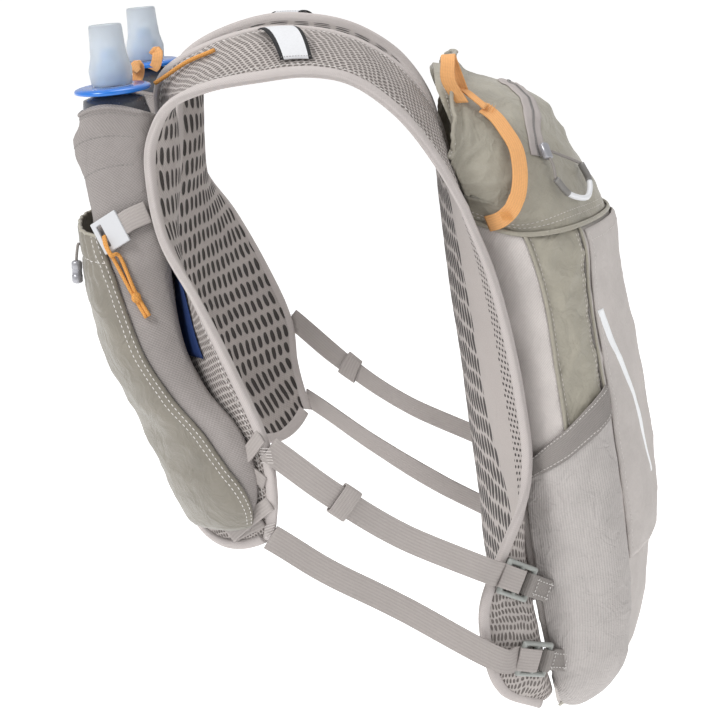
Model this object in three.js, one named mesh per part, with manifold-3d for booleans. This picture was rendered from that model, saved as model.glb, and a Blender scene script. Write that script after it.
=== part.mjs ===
// A running hydration vest, kept in the shape it has when it is worn.
// Sizes are in millimetres: +X is the wearer's left, -Y the chest, +Z up.
// The origin lies at the middle of the shoulder line, where the vest rests on the shoulders.
import * as THREE from 'three';
import Module from 'manifold-3d';

const wasm = await Module();
wasm.setup();

// Clearances and walls
const GAP = 0.3;
const STRAP_WALL = 3.6;
const CLOTH_WALL = 1.2;
const EDGE_INSET = 7.0;
const BINDING_WIDTH = 6.2;
const RIM_DROP = 0.022;
const FRONT_DROP = 0.03;
const BINDING_THICKNESS = 5.4;
const TAPE_WALL = 1.4;
const BINDING_INSET = BINDING_WIDTH / 2 - EDGE_INSET;
const POCKET_LIFT = 2.2;

// Shares along the tables where a piece starts, ends or changes
const STRAP_START = 0.012;
const STRAP_END = 0.997;
const STRAP_PART = 0.54;
const ROOF_START = 0.805;

// Webbing and buckles
const WEBBING_WIDTH = 15.5;
const BUCKLE_LENGTH = 25;
const BUCKLE_LIFT = 6.2;
const BUCKLE_WIDTH = 23;
const BUCKLE_THICKNESS = 3.6;
const BUCKLE_BAR = 3.2;
const KEEPER_LENGTH = 12;
const KEEPER_WALL = 1.6;

// Flask with its collar, valve and cover
const FLASK_LEAN = THREE.MathUtils.degToRad(5);
const FLASK_NECK = { x: 81, y: -109.5, z: -13 };
const FLASK_HALF_WIDTH = 27;
const FLASK_HALF_DEPTH = 21;
const FLASK_CLEAR = 2.4;
const FLASK_LEVELS = [0.115, 0.16, 0.24, 0.33, 0.40, 0.455];
const FLASK_WALL = 1.2;
const COLLAR_HALF_WIDTH = 28;
const COLLAR_HALF_DEPTH = 22.5;
const COLLAR_HEIGHT = 3.4;
const MOUTH_RADIUS = 7;
const VALVE_HEIGHT = 21;
const COVER_HEIGHT = 35;
const COVER_WALL = 1.1;

// The far hip wing has turned back and sunk a little, as it does with nobody inside.
const WING_TURN = 32;
const WING_DROP = 10;

// Shoulder strap: its arm edge and its neck edge from the chest bottom over the shoulder to the back
const STRAP = table('at arm_x arm_y arm_z neck_x neck_y neck_z crown bow', [
  [0.00, 138, -15, -268, 90, -64, -278, 3, 11],
  [0.05, 150.5, -12, -240, 84, -71, -256, 5, 3],
  [0.12, 152.5, -16, -208, 74, -80, -222, 6, 0],
  [0.20, 150, -32, -170, 62, -88, -182, 5, 0],
  [0.28, 142, -55, -126, 52, -91, -138, -3, 0],
  [0.36, 128, -77, -92, 46, -90, -98, -11, 0],
  [0.44, 117, -86, -55, 43, -87, -60, -15, 0],
  [0.49, 113.5, -84, -36, 46, -87, -34, -14, 0],
  [0.54, 113, -72, -19, 54, -84, -9, -7, 0],
  [0.585, 115, -50, -10, 60, -64, 6, 0, 0],
  [0.64, 115, -21, -5, 59, -28, 18, 4, 0],
  [0.70, 115, 7, -2, 54, 6, 18.5, 4, 0],
  [0.75, 114.5, 32, -7, 55, 34, 11.5, 4, 0],
  [0.80, 113, 57, -25, 57, 60, -4.5, 3, 0],
  [0.87, 110, 78, -51, 54, 79, -30, 2, 0],
  [1.00, 107, 97, -82, 50, 89, -66, 0, 0],
]);

// Back panel: its middle line, the hip line where the wings fold forward, and its arm edge
const BACK = table('at mid_y mid_z hip_x hip_y hip_z edge_x edge_y edge_z', [
  [0.00, 84, -63, 66, 90, -71, 107, 97, -83],
  [0.12, 89, -105, 66, 99, -112, 103.5, 113, -120],
  [0.26, 96, -155, 67, 109, -160, 100.5, 126, -164],
  [0.40, 104, -203, 69, 117, -206, 99, 135, -207],
  [0.52, 109, -240, 76, 126, -242, 99.5, 138.5, -238],
  [0.62, 114, -272, 90, 134, -272, 107, 133, -266],
  [0.70, 118, -300, 97, 136, -300, 116, 121, -292],
  [0.78, 121, -328, 98, 141, -328, 122, 110, -322],
  [0.86, 127, -356, 98, 147, -356, 121, 112, -350],
  [0.94, 139, -385, 92, 153, -384, 112, 124, -384],
  [1.00, 152, -404, 76, 159, -404, 92, 150, -404],
]);
const HIP_SHARE = 0.68;

// Pack: its seams beside and behind and its middle, from the bottom to the top hem
const PACK = table('at side_x side_y side_z rear_x rear_y rear_z back_y back_z', [
  [0.00, 66, 168, -419, 46, 186, -421, 195, -416],
  [0.08, 88, 176, -396, 66, 200, -400, 212, -399],
  [0.16, 95, 179, -366, 78, 208, -370, 228, -372],
  [0.28, 97, 175, -318, 83, 206, -318, 233, -318],
  [0.40, 95, 168, -268, 82, 199, -268, 229, -266],
  [0.51, 93, 163, -220, 78, 190, -212, 221, -216],
  [0.60, 92, 156, -181, 75, 183, -175, 213, -176],
  [0.70, 92, 148, -138, 73, 176, -136, 204, -138],
  [0.78, 92, 137, -104, 72, 172, -105, 199, -103],
  [0.85, 91, 126, -84, 66, 158, -75, 186, -77],
  [0.90, 87, 116, -66, 60, 144, -50, 164, -43],
  [0.95, 82, 105, -50, 52, 126, -28, 146, -22],
  [1.00, 76, 92, -37, 54, 83, -14, 83, -4],
]);

// Where the pack is sewn to the panels: place along the back panel, below zero on the strap, and across it
const PACK_SEAM = table('at hold_at hold_in', [
  [0.00, 0.975, 0.36],
  [0.08, 0.93, 0.35],
  [0.16, 0.86, 0.35],
  [0.28, 0.75, 0.35],
  [0.40, 0.61, 0.30],
  [0.51, 0.49, 0.12],
  [0.60, 0.33, 0.10],
  [0.70, 0.18, 0.10],
  [0.78, 0.07, 0.11],
  [0.85, 0.01, 0.12],
  [0.90, -0.03, 0.14],
  [0.95, -0.06, 0.15],
  [1.00, -0.10, 0.17],
]);
const SIDE_SHARE = 0.72;
const REAR_SHARE = 0.42;

// Bottle pocket: where its two edges are sewn on the strap, how far it stands off and how square it is
const BOTTLE_POCKET = table('at arm_in neck_in mouth depth square', [
  [0.018, 0.14, 0.90, 0.0, 8, 0.90],
  [0.035, 0.10, 0.90, 0.0, 13, 0.90],
  [0.070, 0.06, 0.92, 0.3, 17.5, 0.90],
  [0.110, 0.07, 0.93, 0.6, 19.5, 0.86],
  [0.150, 0.11, 0.94, 1.5, 20, 0.80],
  [0.190, 0.22, 0.94, 4.0, 22.5, 0.74],
  [0.240, 0.30, 0.94, 6.0, 29.5, 0.68],
  [0.300, 0.25, 0.94, 5.0, 35.5, 0.62],
  [0.345, 0.10, 0.94, 2.0, 37.5, 0.60],
  [0.390, 0.04, 0.96, 1.2, 38.5, 0.58],
  [0.440, 0.04, 0.96, 1.4, 44, 0.55],
  [0.468, 0.04, 0.96, 1.4, 49, 0.52],
  [0.485, 0.04, 0.96, 1.2, 45, 0.52],
  [0.518, 0.04, 0.96, 1.2, 51.5, 0.52],
]);

// Front pocket: its seam and front edge as shares across the bottle pocket, and how far it stands off
const FRONT_POCKET = table('at seam front depth', [
  [0.025, 0.06, 0.90, 2.0],
  [0.045, 0.08, 0.91, 4.0],
  [0.070, 0.14, 0.92, 5.5],
  [0.100, 0.22, 0.93, 6.0],
  [0.150, 0.27, 0.93, 7.5],
  [0.200, 0.265, 0.93, 8.5],
  [0.260, 0.26, 0.93, 8.5],
  [0.320, 0.275, 0.93, 8.5],
  [0.365, 0.31, 0.93, 8.5],
  [0.400, 0.35, 0.92, 6.0],
]);

// Side pocket of the pack: place round the pack, its lower and upper end and how far it stands off
const SIDE_POCKET = table('at across low high bulge', [
  [0.00, 0.955, 0.07, 0.475, 1.0],
  [0.25, 0.82, 0.035, 0.500, 2.5],
  [0.50, 0.64, 0.03, 0.525, 3.0],
  [0.75, 0.46, 0.03, 0.545, 2.0],
  [1.00, 0.42, 0.03, 0.550, 0.3],
]);

// Orange side loop and zipper: paths on the pack
const SIDE_LOOP = table('at along across lift', [
  [0.0, 0.968, 0.49, 0],
  [0.2, 0.943, 0.54, 2],
  [0.4, 0.910, 0.57, 4],
  [0.6, 0.875, 0.65, 4],
  [0.8, 0.845, 0.765, 2],
  [1.0, 0.812, 0.90, 0],
]);
const ZIPPER = table('at along across', [
  [0.00, 0.893, -0.44],
  [0.18, 0.930, -0.32],
  [0.50, 0.965, 0],
  [0.82, 0.930, 0.32],
  [1.00, 0.893, 0.44],
]);
const PULLER = table('at along across lift', [
  [0.00, 0.868, 0.20, 2.4],
  [0.25, 0.850, 0.21, 2.5],
  [0.50, 0.832, 0.30, 2.6],
  [0.75, 0.842, 0.41, 2.5],
  [1.00, 0.864, 0.45, 2.4],
]);

// Clip on the bottle pocket with its cord, and the toggle on the front pocket: places on the bottle pocket
const CLIP = { at: 0.372, across: 0.20, length: 18, width: 20, wall: 2.4, slot: 3.2 };
const PULL_CORD = table('at along across lift', [
  [0.0, 0.366, 0.235, 5.2],
  [0.3, 0.345, 0.205, 3.6],
  [0.7, 0.300, 0.165, 3.2],
  [1.0, 0.268, 0.125, 3.6],
]);
const TOGGLE = { at: 0.325, across: 0.58, radius: 3.2, length: 14, stem: 8 };
const LABEL = { at: 0.646, across: 0.08, reach: 0.84, length: 0.036, slant: 0.021, arch: 4 };

// Side straps of the left side: their path from the chest, and the buckle's place on the hip wing
const SIDE_STRAPS = [
  {
    level: 'upper',
    keeper: 0.34,
    buckle: { at: 0.735, across: 0.10, slope: -1.5 },
    path: [
      { at: 0.00, x: 155.5, y: -9, z: -216 },
      { at: 0.30, x: 149, y: 22, z: -242 },
      { at: 0.65, x: 139, y: 62, z: -271 },
    ],
  },
  {
    level: 'lower',
    keeper: 0,
    buckle: { at: 0.885, across: 0.17, slope: -1.5 },
    path: [
      { at: 0.00, x: 147, y: -9, z: -273 },
      { at: 0.30, x: 137, y: 20, z: -296 },
      { at: 0.65, x: 129, y: 66, z: -324 },
    ],
  },
];

// Rows of numbers under their column names
function table(names, rows) {
  const columns = names.split(' ');
  return rows.map((row) => Object.fromEntries(row.map((value, i) => [columns[i], value])));
}

// Joins the rows of a table by a smooth curve and gives the values at one share of it.
function sample(table, at) {
  const last = table.length - 1;
  let row = 0;
  while (row < last - 1 && at > table[row + 1].at) {
    row += 1;
  }
  const before = table[Math.max(row - 1, 0)];
  const start = table[row];
  const end = table[row + 1];
  const after = table[Math.min(row + 2, last)];
  const span = end.at - start.at;
  const t = (at - start.at) / span;
  const values = {};
  for (const name of Object.keys(start)) {
    const startSlope = (end[name] - before[name]) / (end.at - before.at);
    const endSlope = (after[name] - start[name]) / (after.at - start.at);
    const rise = t * t * (3 - 2 * t);
    values[name] = start[name] * (1 - rise) + end[name] * rise
      + span * (startSlope * t * (1 - t) * (1 - t) - endSlope * t * t * (1 - t));
  }
  return values;
}

function mix(a, b, t) {
  return a + (b - a) * t;
}

function ramp(value, low, high) {
  return THREE.MathUtils.smoothstep(value, low, high);
}

// Puts a point made for the left side on the side asked for, and lets the far wing sit as it does.
function place(sign, point) {
  const x = point.x * sign;
  const wing = ramp(-x, 60, 112) * ramp(-point.z, 235, 315);
  return new THREE.Vector3(x, point.y + WING_TURN * wing, point.z - WING_DROP * wing);
}

function normalAt(surface, at, across, turn = 1) {
  const step = 0.004;
  const a = surface(at - step, across);
  const b = surface(at + step, across);
  const c = surface(at, across - step);
  const d = surface(at, across + step);
  return b.sub(a).cross(d.sub(c)).normalize().multiplyScalar(turn);
}

function lifted(surface, at, across, lift, turn = 1) {
  return surface(at, across).addScaledVector(normalAt(surface, at, across, turn), lift);
}

// Direction away from the body at one share of the strap, from its two edges alone
function strapOutward(at) {
  const row = sample(STRAP, at);
  const ahead = sample(STRAP, Math.min(at + 0.01, 1));
  const behind = sample(STRAP, Math.max(at - 0.01, 0));
  const along = new THREE.Vector3(
    ahead.arm_x + ahead.neck_x - behind.arm_x - behind.neck_x,
    ahead.arm_y + ahead.neck_y - behind.arm_y - behind.neck_y,
    ahead.arm_z + ahead.neck_z - behind.arm_z - behind.neck_z,
  );
  const across = new THREE.Vector3(row.neck_x - row.arm_x, row.neck_y - row.arm_y, row.neck_z - row.arm_z);
  return along.cross(across).normalize();
}

// Strap surface on the body side; across runs from the arm binding (0) to the neck binding (1).
function strapBase(at, across) {
  const row = sample(STRAP, at);
  const arm = new THREE.Vector3(row.arm_x, row.arm_y, row.arm_z);
  const neck = new THREE.Vector3(row.neck_x, row.neck_y, row.neck_z);
  const width = arm.distanceTo(neck);
  const share = (EDGE_INSET + (width - 2 * EDGE_INSET) * across) / width;
  const hump = 4 * share * (1 - share);
  const point = arm.clone().lerp(neck, share);
  point.addScaledVector(strapOutward(at), row.crown * hump);
  point.z -= row.bow * hump;
  return point;
}

function strapPoint(at, across, lift) {
  return lifted(strapBase, at, across, lift);
}

// Back panel surface on the body side; across runs from the arm edge (0) to the middle line (1) and on.
function backBase(at, across) {
  const row = sample(BACK, at);
  const section = [
    { at: -1, x: -row.edge_x, y: row.edge_y, z: row.edge_z },
    { at: -HIP_SHARE, x: -row.hip_x, y: row.hip_y, z: row.hip_z },
    { at: 0, x: 0, y: row.mid_y, z: row.mid_z },
    { at: HIP_SHARE, x: row.hip_x, y: row.hip_y, z: row.hip_z },
    { at: 1, x: row.edge_x, y: row.edge_y, z: row.edge_z },
  ];
  const lap = Math.hypot(row.edge_x - row.hip_x, row.edge_y - row.hip_y, row.edge_z - row.hip_z);
  const reach = 1 - (EDGE_INSET * (1 - HIP_SHARE)) / lap;
  const point = sample(section, (1 - across) * reach);
  return new THREE.Vector3(point.x, point.y, point.z);
}

function backPoint(at, across, lift) {
  return lifted(backBase, at, across, lift);
}

// Outer face of the panels where the pack is sewn on: below zero the share is on the strap.
function sewPoint(holdAt, holdIn, lift) {
  if (holdAt < 0) {
    return strapPoint(1 + holdAt, holdIn * 1.7, STRAP_WALL + GAP + lift);
  }
  return backPoint(holdAt, holdIn, STRAP_WALL + GAP + lift);
}

// Pack surface; across runs from the left sewn edge (1) over the middle (0) to the right one (-1).
function packBase(at, across) {
  const row = sample(PACK, at);
  const seam = sample(PACK_SEAM, at);
  const sewn = sewPoint(seam.hold_at, seam.hold_in, 1.3);
  const half = [
    { at: REAR_SHARE, x: row.rear_x, y: row.rear_y, z: row.rear_z },
    { at: SIDE_SHARE, x: row.side_x, y: row.side_y, z: row.side_z },
    { at: 1, x: sewn.x, y: sewn.y, z: sewn.z },
  ];
  const mirrored = half.map((p) => ({ at: -p.at, x: -p.x, y: p.y, z: p.z })).reverse();
  const middle = { at: 0, x: 0, y: row.back_y, z: row.back_z };
  const point = sample([...mirrored, middle, ...half], across);
  return new THREE.Vector3(point.x, point.y, point.z);
}

function packPoint(at, across, lift) {
  return lifted(packBase, at, across, lift, 1);
}

// Bottle pocket surface; across runs from the arm side (0) round the bottle to the front side (1).
function bottleBase(at, across) {
  const row = sample(BOTTLE_POCKET, at);
  const arm = strapPoint(at, row.arm_in, STRAP_WALL + GAP + row.mouth);
  const neck = strapPoint(at, row.neck_in, STRAP_WALL + GAP + Math.min(row.mouth, 1.2));
  const middle = arm.clone().lerp(neck, 0.5);
  const outward = strapOutward(at);
  const chord = arm.clone().sub(neck).multiplyScalar(0.5);
  const angle = Math.PI * across;
  const cos = Math.cos(angle);
  const wide = Math.sign(cos) * Math.abs(cos) ** row.square;
  const high = Math.max(Math.sin(angle), 0) ** row.square;
  return middle.addScaledVector(chord, wide).addScaledVector(outward, row.depth * high);
}

function bottlePoint(at, across, lift) {
  const inside = THREE.MathUtils.clamp(across, 0.02, 0.98);
  return bottleBase(at, across).addScaledVector(normalAt(bottleBase, at, inside), lift);
}

function mesh(name, colour, positions, indices, finish = {}) {
  const geometry = new THREE.BufferGeometry();
  geometry.setAttribute('position', new THREE.Float32BufferAttribute(positions, 3));
  geometry.setIndex(indices);
  geometry.computeVertexNormals();
  const material = new THREE.MeshStandardMaterial({ color: colour, roughness: 0.8, metalness: 0, ...finish });
  const made = new THREE.Mesh(geometry, material);
  made.name = name;
  return made;
}

// A sheet of cloth: a grid of points on one face and, a wall further out, the same grid on the other.
function sheet(name, colour, sign, rows, columns, pointAt, wall, options = {}) {
  const turn = options.turn ?? 1;
  const grid = [];
  for (let i = 0; i <= rows; i += 1) {
    grid.push([]);
    for (let j = 0; j <= columns; j += 1) {
      grid[i].push(pointAt(i / rows, j / columns));
    }
  }
  const faces = [[], []];
  for (let i = 0; i <= rows; i += 1) {
    for (let j = 0; j <= columns; j += 1) {
      const along = grid[Math.min(i + 1, rows)][j].clone().sub(grid[Math.max(i - 1, 0)][j]);
      const across = grid[i][Math.min(j + 1, columns)].clone().sub(grid[i][Math.max(j - 1, 0)]);
      const normal = along.cross(across).normalize().multiplyScalar(turn);
      faces[0].push(place(sign, grid[i][j]));
      faces[1].push(place(sign, grid[i][j].clone().addScaledVector(normal, wall)));
    }
  }
  const positions = [];
  for (const point of [...faces[0], ...faces[1]]) {
    positions.push(point.x, point.y, point.z);
  }
  const wide = columns + 1;
  const outer = faces[0].length;
  const indices = [];
  const quad = (a, b, c, d) => indices.push(a, b, c, a, c, d);
  for (let i = 0; i < rows; i += 1) {
    for (let j = 0; j < columns; j += 1) {
      const a = i * wide + j;
      quad(outer + a, outer + a + wide, outer + a + wide + 1, outer + a + 1);
      quad(a, a + 1, a + wide + 1, a + wide);
    }
  }
  for (let i = 0; i < rows; i += 1) {
    const a = i * wide;
    quad(a, a + wide, outer + a + wide, outer + a);
    quad(a + columns, outer + a + columns, outer + a + wide + columns, a + wide + columns);
  }
  for (let j = 0; j < columns; j += 1) {
    const a = j;
    const b = rows * wide + j;
    quad(a, outer + a, outer + a + 1, a + 1);
    quad(b, b + 1, outer + b + 1, outer + b);
  }
  if (sign * turn < 0) {
    indices.reverse();
  }
  return mesh(name, colour, positions, indices, options.finish);
}

// A closed bar that follows a path: the section is a ring of points in the plane of two directions.
function sweep(name, colour, sign, count, pointAt, section, options = {}) {
  const positions = [];
  for (let i = 0; i <= count; i += 1) {
    const { centre, wide, thick } = pointAt(i / count);
    for (const [a, b] of section) {
      const point = place(sign, centre.clone().addScaledVector(wide, a).addScaledVector(thick, b));
      positions.push(point.x, point.y, point.z);
    }
  }
  const n = section.length;
  const indices = [];
  for (let i = 0; i < count; i += 1) {
    for (let j = 0; j < n; j += 1) {
      const a = i * n + j;
      const b = i * n + (j + 1) % n;
      indices.push(a, b, b + n, a, b + n, a + n);
    }
  }
  for (let j = 1; j < n - 1; j += 1) {
    indices.push(0, j + 1, j);
    indices.push(count * n, count * n + j, count * n + j + 1);
  }
  const turn = options.turn ?? 1;
  if (sign * turn < 0) {
    indices.reverse();
  }
  return mesh(name, colour, positions, indices, options.finish);
}

function flatSection(width, thickness) {
  const w = width / 2;
  const t = thickness / 2;
  return [[-w, -t], [w, -t], [w, t], [-w, t]];
}

function roundSection(width, thickness, count) {
  const ring = [];
  for (let i = 0; i < count; i += 1) {
    const angle = (2 * Math.PI * (i + 0.5)) / count;
    ring.push([(Math.cos(angle) * width) / 2, (Math.sin(angle) * thickness) / 2]);
  }
  return ring;
}

// Wraps points in a loop of rings to a closed hollow vessel: rings run up the outside and down inside.
function vessel(name, colour, sign, rings, finish) {
  const n = rings[0].length;
  const positions = [];
  for (const ring of rings) {
    for (const point of ring) {
      const placed = place(sign, point);
      positions.push(placed.x, placed.y, placed.z);
    }
  }
  const indices = [];
  for (let i = 0; i < rings.length - 1; i += 1) {
    for (let j = 0; j < n; j += 1) {
      const a = i * n + j;
      const b = i * n + (j + 1) % n;
      indices.push(a, b, b + n, a, b + n, a + n);
    }
  }
  const top = (rings.length - 1) * n;
  for (let j = 1; j < n - 1; j += 1) {
    indices.push(0, j + 1, j);
    indices.push(top, top + j, top + j + 1);
  }
  if (sign < 0) {
    indices.reverse();
  }
  return mesh(name, colour, positions, indices, finish);
}

// The flask's own frame: up its axis, across and front to back, from the top of the neck.
const FLASK_UP = new THREE.Vector3(0, -Math.sin(FLASK_LEAN), Math.cos(FLASK_LEAN));
const FLASK_ACROSS = new THREE.Vector3(1, 0, 0);
const FLASK_DEEP = FLASK_UP.clone().cross(FLASK_ACROSS);

// Ring of the soft flask inside its pocket: along the strap's face, then back along the pocket's
function pocketRing(at, clear, count) {
  const row = sample(BOTTLE_POCKET, at);
  const ring = [];
  for (let i = 0; i < count; i += 1) {
    const angle = (2 * Math.PI * i) / count;
    const share = (1 - Math.cos(angle)) / 2;
    if (angle < Math.PI) {
      const across = mix(row.arm_in + 0.06, row.neck_in - 0.06, share);
      ring.push(strapPoint(at, across, STRAP_WALL + FLASK_CLEAR + clear + row.mouth * (1 - share)));
    } else {
      ring.push(bottlePoint(at, mix(0.04, 0.96, (2 * Math.PI - angle) / Math.PI), -FLASK_CLEAR - clear));
    }
  }
  return ring;
}

function flaskRing(height, halfWidth, halfDepth, count) {
  const ring = [];
  for (let i = 0; i < count; i += 1) {
    const angle = (2 * Math.PI * i) / count;
    const cos = Math.cos(angle);
    const sin = Math.sin(angle);
    ring.push(new THREE.Vector3(FLASK_NECK.x, FLASK_NECK.y, FLASK_NECK.z)
      .addScaledVector(FLASK_UP, height)
      .addScaledVector(FLASK_ACROSS, halfWidth * cos)
      .addScaledVector(FLASK_DEEP, halfDepth * sin));
  }
  return ring;
}

const COLOURS = {
  strap: '#bbb3ae', binding: '#c9c1bd', knit: '#a59f9a', olive: '#9b9686', grey: '#b6afab',
  webbing: '#aaa39e', orange: '#f4b878', cord: '#eda63f', navy: '#012b63', black: '#1c1c1e',
  smoke: '#55585f', blue: '#0b7ae0', frost: '#e3e7ea', valve: '#8fbbe8', white: '#f2f2f2',
  silver: '#bdbdc4', buckle: '#a9b2ad',
};

const vest = new THREE.Group();
vest.name = 'running_hydration_vest';

function sideName(sign) {
  return sign > 0 ? 'left' : 'right';
}

// Chest, shoulder and edge pieces
function addStrap(sign) {
  vest.add(sheet(`${sideName(sign)}_shoulder_strap`, COLOURS.strap, sign, 24, 4,
    (a, b) => strapBase(mix(STRAP_START, STRAP_END, a), b), STRAP_WALL));
}

// Middle line of the arm binding: on the strap for the first part, on the back panel for the rest
function armLine(share, lift) {
  if (share <= STRAP_PART) {
    const at = mix(STRAP_START - 0.014, 1, share / STRAP_PART);
    const reach = strapBase(at, 0).distanceTo(strapBase(at, 1));
    return strapPoint(at, BINDING_INSET / reach, lift);
  }
  const at = (share - STRAP_PART) / (1 - STRAP_PART);
  const edge = backPoint(at, 0, lift);
  const outward = edge.clone().sub(backPoint(at, 0.03, lift)).normalize();
  return edge.addScaledVector(outward, 2 * GAP + 1.0 * ramp(at, 0.82, 0.93) - BINDING_INSET);
}

// Middle line of the neck binding: along the chest bottom, round its corner and up the neck edge
function neckLine(share, lift) {
  const corner = 0.16;
  const turned = 0.25;
  const radius = 0.0098;
  const across = 0.078;
  if (share < corner) {
    return strapPoint(STRAP_START - radius, mix(0.004, 1, share / corner), lift);
  }
  if (share < turned) {
    const angle = (Math.PI / 2) * ((share - corner) / (turned - corner));
    return strapPoint(STRAP_START - radius * Math.cos(angle), 1 + across * Math.sin(angle), lift);
  }
  const at = mix(STRAP_START, 0.985, (share - turned) / (1 - turned));
  const reach = strapBase(at, 0).distanceTo(strapBase(at, 1));
  return strapPoint(at, 1 - BINDING_INSET / reach, lift);
}

function addBinding(name, sign, line, count, step) {
  const middle = STRAP_WALL / 2;
  const section = roundSection(BINDING_WIDTH * 1.08, BINDING_THICKNESS * 1.08, 6);
  vest.add(sweep(`${sideName(sign)}_${name}`, COLOURS.binding, sign, count, (share) => {
    const centre = line(share, middle);
    const ahead = line(Math.min(share + step, 1), middle);
    const behind = line(Math.max(share - step, 0), middle);
    const thick = line(share, middle + 4).sub(centre).normalize();
    const along = ahead.sub(behind).normalize();
    return { centre, wide: along.cross(thick).normalize(), thick };
  }, section, { turn: -1 }));
}

// A flat band along a path on a surface; the table's rows give the place of its middle line.
function ribbon(name, colour, sign, surface, path, width, wall, lift, rows, options = {}) {
  const line = (share) => {
    const row = sample(path, share);
    return surface(row.along, row.across, lift + (row.lift ?? 0));
  };
  return sheet(name, colour, sign, rows, options.columns ?? 1, (a, b) => {
    const row = sample(path, a);
    const centre = line(a);
    const along = line(Math.min(a + 0.02, 1)).sub(line(Math.max(a - 0.02, 0))).normalize();
    const up = surface(row.along, row.across, lift + 3).sub(surface(row.along, row.across, lift)).normalize();
    const side = up.cross(along).normalize();
    const share = (row.width ?? 1) * width;
    return centre.addScaledVector(side, (0.5 - b) * share * (options.turn ?? 1));
  }, wall, { finish: options.finish, turn: options.turn });
}

function addPockets(sign) {
  const name = sideName(sign);
  const rim = BOTTLE_POCKET[BOTTLE_POCKET.length - 1].at;
  vest.add(sheet(`${name}_bottle_pocket`, COLOURS.knit, sign, 14, 9,
    (a, b) => bottleBase(mix(BOTTLE_POCKET[0].at, rim - RIM_DROP * ramp(b, 0, 0.5), a), b), CLOTH_WALL));
  const low = FRONT_POCKET[0].at;
  const high = FRONT_POCKET[FRONT_POCKET.length - 1].at;
  vest.add(sheet(`${name}_front_pocket`, COLOURS.olive, sign, 10, 7, (a, b) => {
    const at = mix(low, high - FRONT_DROP * (1 - b), a);
    const row = sample(FRONT_POCKET, at);
    const off = row.depth * Math.max(Math.sin(Math.PI * b), 0) ** 0.6;
    return bottlePoint(at, mix(row.seam, row.front, b), CLOTH_WALL + 3 * GAP + off);
  }, CLOTH_WALL));
  vest.add(sheet(`${name}_side_lining`, COLOURS.navy, sign, 6, 2, (a, b) => {
    const at = mix(0.22, 0.325, a);
    const row = sample(BOTTLE_POCKET, at);
    return strapPoint(at, row.arm_in - 0.08 + 0.3 * b, STRAP_WALL + 2 * GAP);
  }, 0.8));
}

// Flask, its collar, valve and cover
function addFlask(sign) {
  const name = sideName(sign);
  const neck = [
    { height: -9, half_width: FLASK_HALF_WIDTH - 8, half_depth: FLASK_HALF_DEPTH - 2 },
    { height: -4, half_width: FLASK_HALF_WIDTH - 9, half_depth: FLASK_HALF_DEPTH - 3 },
    { height: -2, half_width: FLASK_HALF_WIDTH - 14, half_depth: FLASK_HALF_DEPTH - 9 },
    { height: -1, half_width: MOUTH_RADIUS + 3, half_depth: MOUTH_RADIUS + 3 },
    { height: COLLAR_HEIGHT - 0.6, half_width: MOUTH_RADIUS + 2, half_depth: MOUTH_RADIUS + 2 },
  ];
  const skin = (wall) => [
    ...FLASK_LEVELS.map((at, i) => pocketRing(at + (i === 0 ? wall / 400 : 0), wall, 12)),
    ...neck.map((r) => flaskRing(r.height, r.half_width - wall, r.half_depth - wall, 12)),
  ];
  const glass = { roughness: 0.25, transparent: true, opacity: 0.85 };
  const rings = [...skin(0), ...skin(FLASK_WALL).reverse()];
  vest.add(vessel(`${name}_flask`, COLOURS.smoke, sign, rings, glass));
  const outer = [
    flaskRing(0, COLLAR_HALF_WIDTH, COLLAR_HALF_DEPTH, 16),
    flaskRing(COLLAR_HEIGHT * 0.5, COLLAR_HALF_WIDTH, COLLAR_HALF_DEPTH, 16),
    flaskRing(COLLAR_HEIGHT, COLLAR_HALF_WIDTH - 5, COLLAR_HALF_DEPTH - 4, 16),
  ];
  const bore = MOUTH_RADIUS + 3 + GAP;
  const inner = [flaskRing(COLLAR_HEIGHT, bore, bore, 16), flaskRing(0, bore, bore, 16)];
  vest.add(ringBody(`${name}_flask_collar`, COLOURS.blue, sign, [...outer, ...inner], { roughness: 0.35 }));
  const base = COLLAR_HEIGHT + GAP;
  const valve = [
    { height: base, radius: 9 },
    { height: base + 4, radius: 9.4 },
    { height: base + 6.6, radius: 9.4 },
    { height: base + 8, radius: 8.2 },
    { height: base + 12.4, radius: 8.6 },
    { height: base + 13.4, radius: 5.4 },
    { height: base + VALVE_HEIGHT, radius: 4.6 },
  ];
  vest.add(vessel(`${name}_bite_valve`, COLOURS.valve, sign,
    valve.map((r) => flaskRing(r.height, r.radius, r.radius, 12)), { roughness: 0.4 }));
  const cover = [
    { height: base + COVER_HEIGHT - COVER_WALL, radius: 8.2, inside: true },
    { height: base + 17, radius: 9.7, inside: true },
    { height: base + 9, radius: 11.7, inside: true },
    { height: base, radius: 10.9, inside: true },
    { height: base, radius: 12 },
    { height: base + 9, radius: 12.8 },
    { height: base + 17, radius: 10.8 },
    { height: base + COVER_HEIGHT, radius: 9.8 },
  ];
  vest.add(vessel(`${name}_valve_cover`, COLOURS.frost, sign,
    cover.map((r) => flaskRing(r.height, r.radius, r.radius, 12)), { roughness: 0.5 }));
}

// A closed loop of rings, as for a washer
function ringBody(name, colour, sign, rings, finish) {
  const n = rings[0].length;
  const positions = [];
  for (const ring of rings) {
    for (const point of ring) {
      const placed = place(sign, point);
      positions.push(placed.x, placed.y, placed.z);
    }
  }
  const indices = [];
  for (let i = 0; i < rings.length; i += 1) {
    const next = (i + 1) % rings.length;
    for (let j = 0; j < n; j += 1) {
      const k = (j + 1) % n;
      indices.push(i * n + j, i * n + k, next * n + k, i * n + j, next * n + k, next * n + j);
    }
  }
  if (sign < 0) {
    indices.reverse();
  }
  return mesh(name, colour, positions, indices, finish);
}

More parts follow.
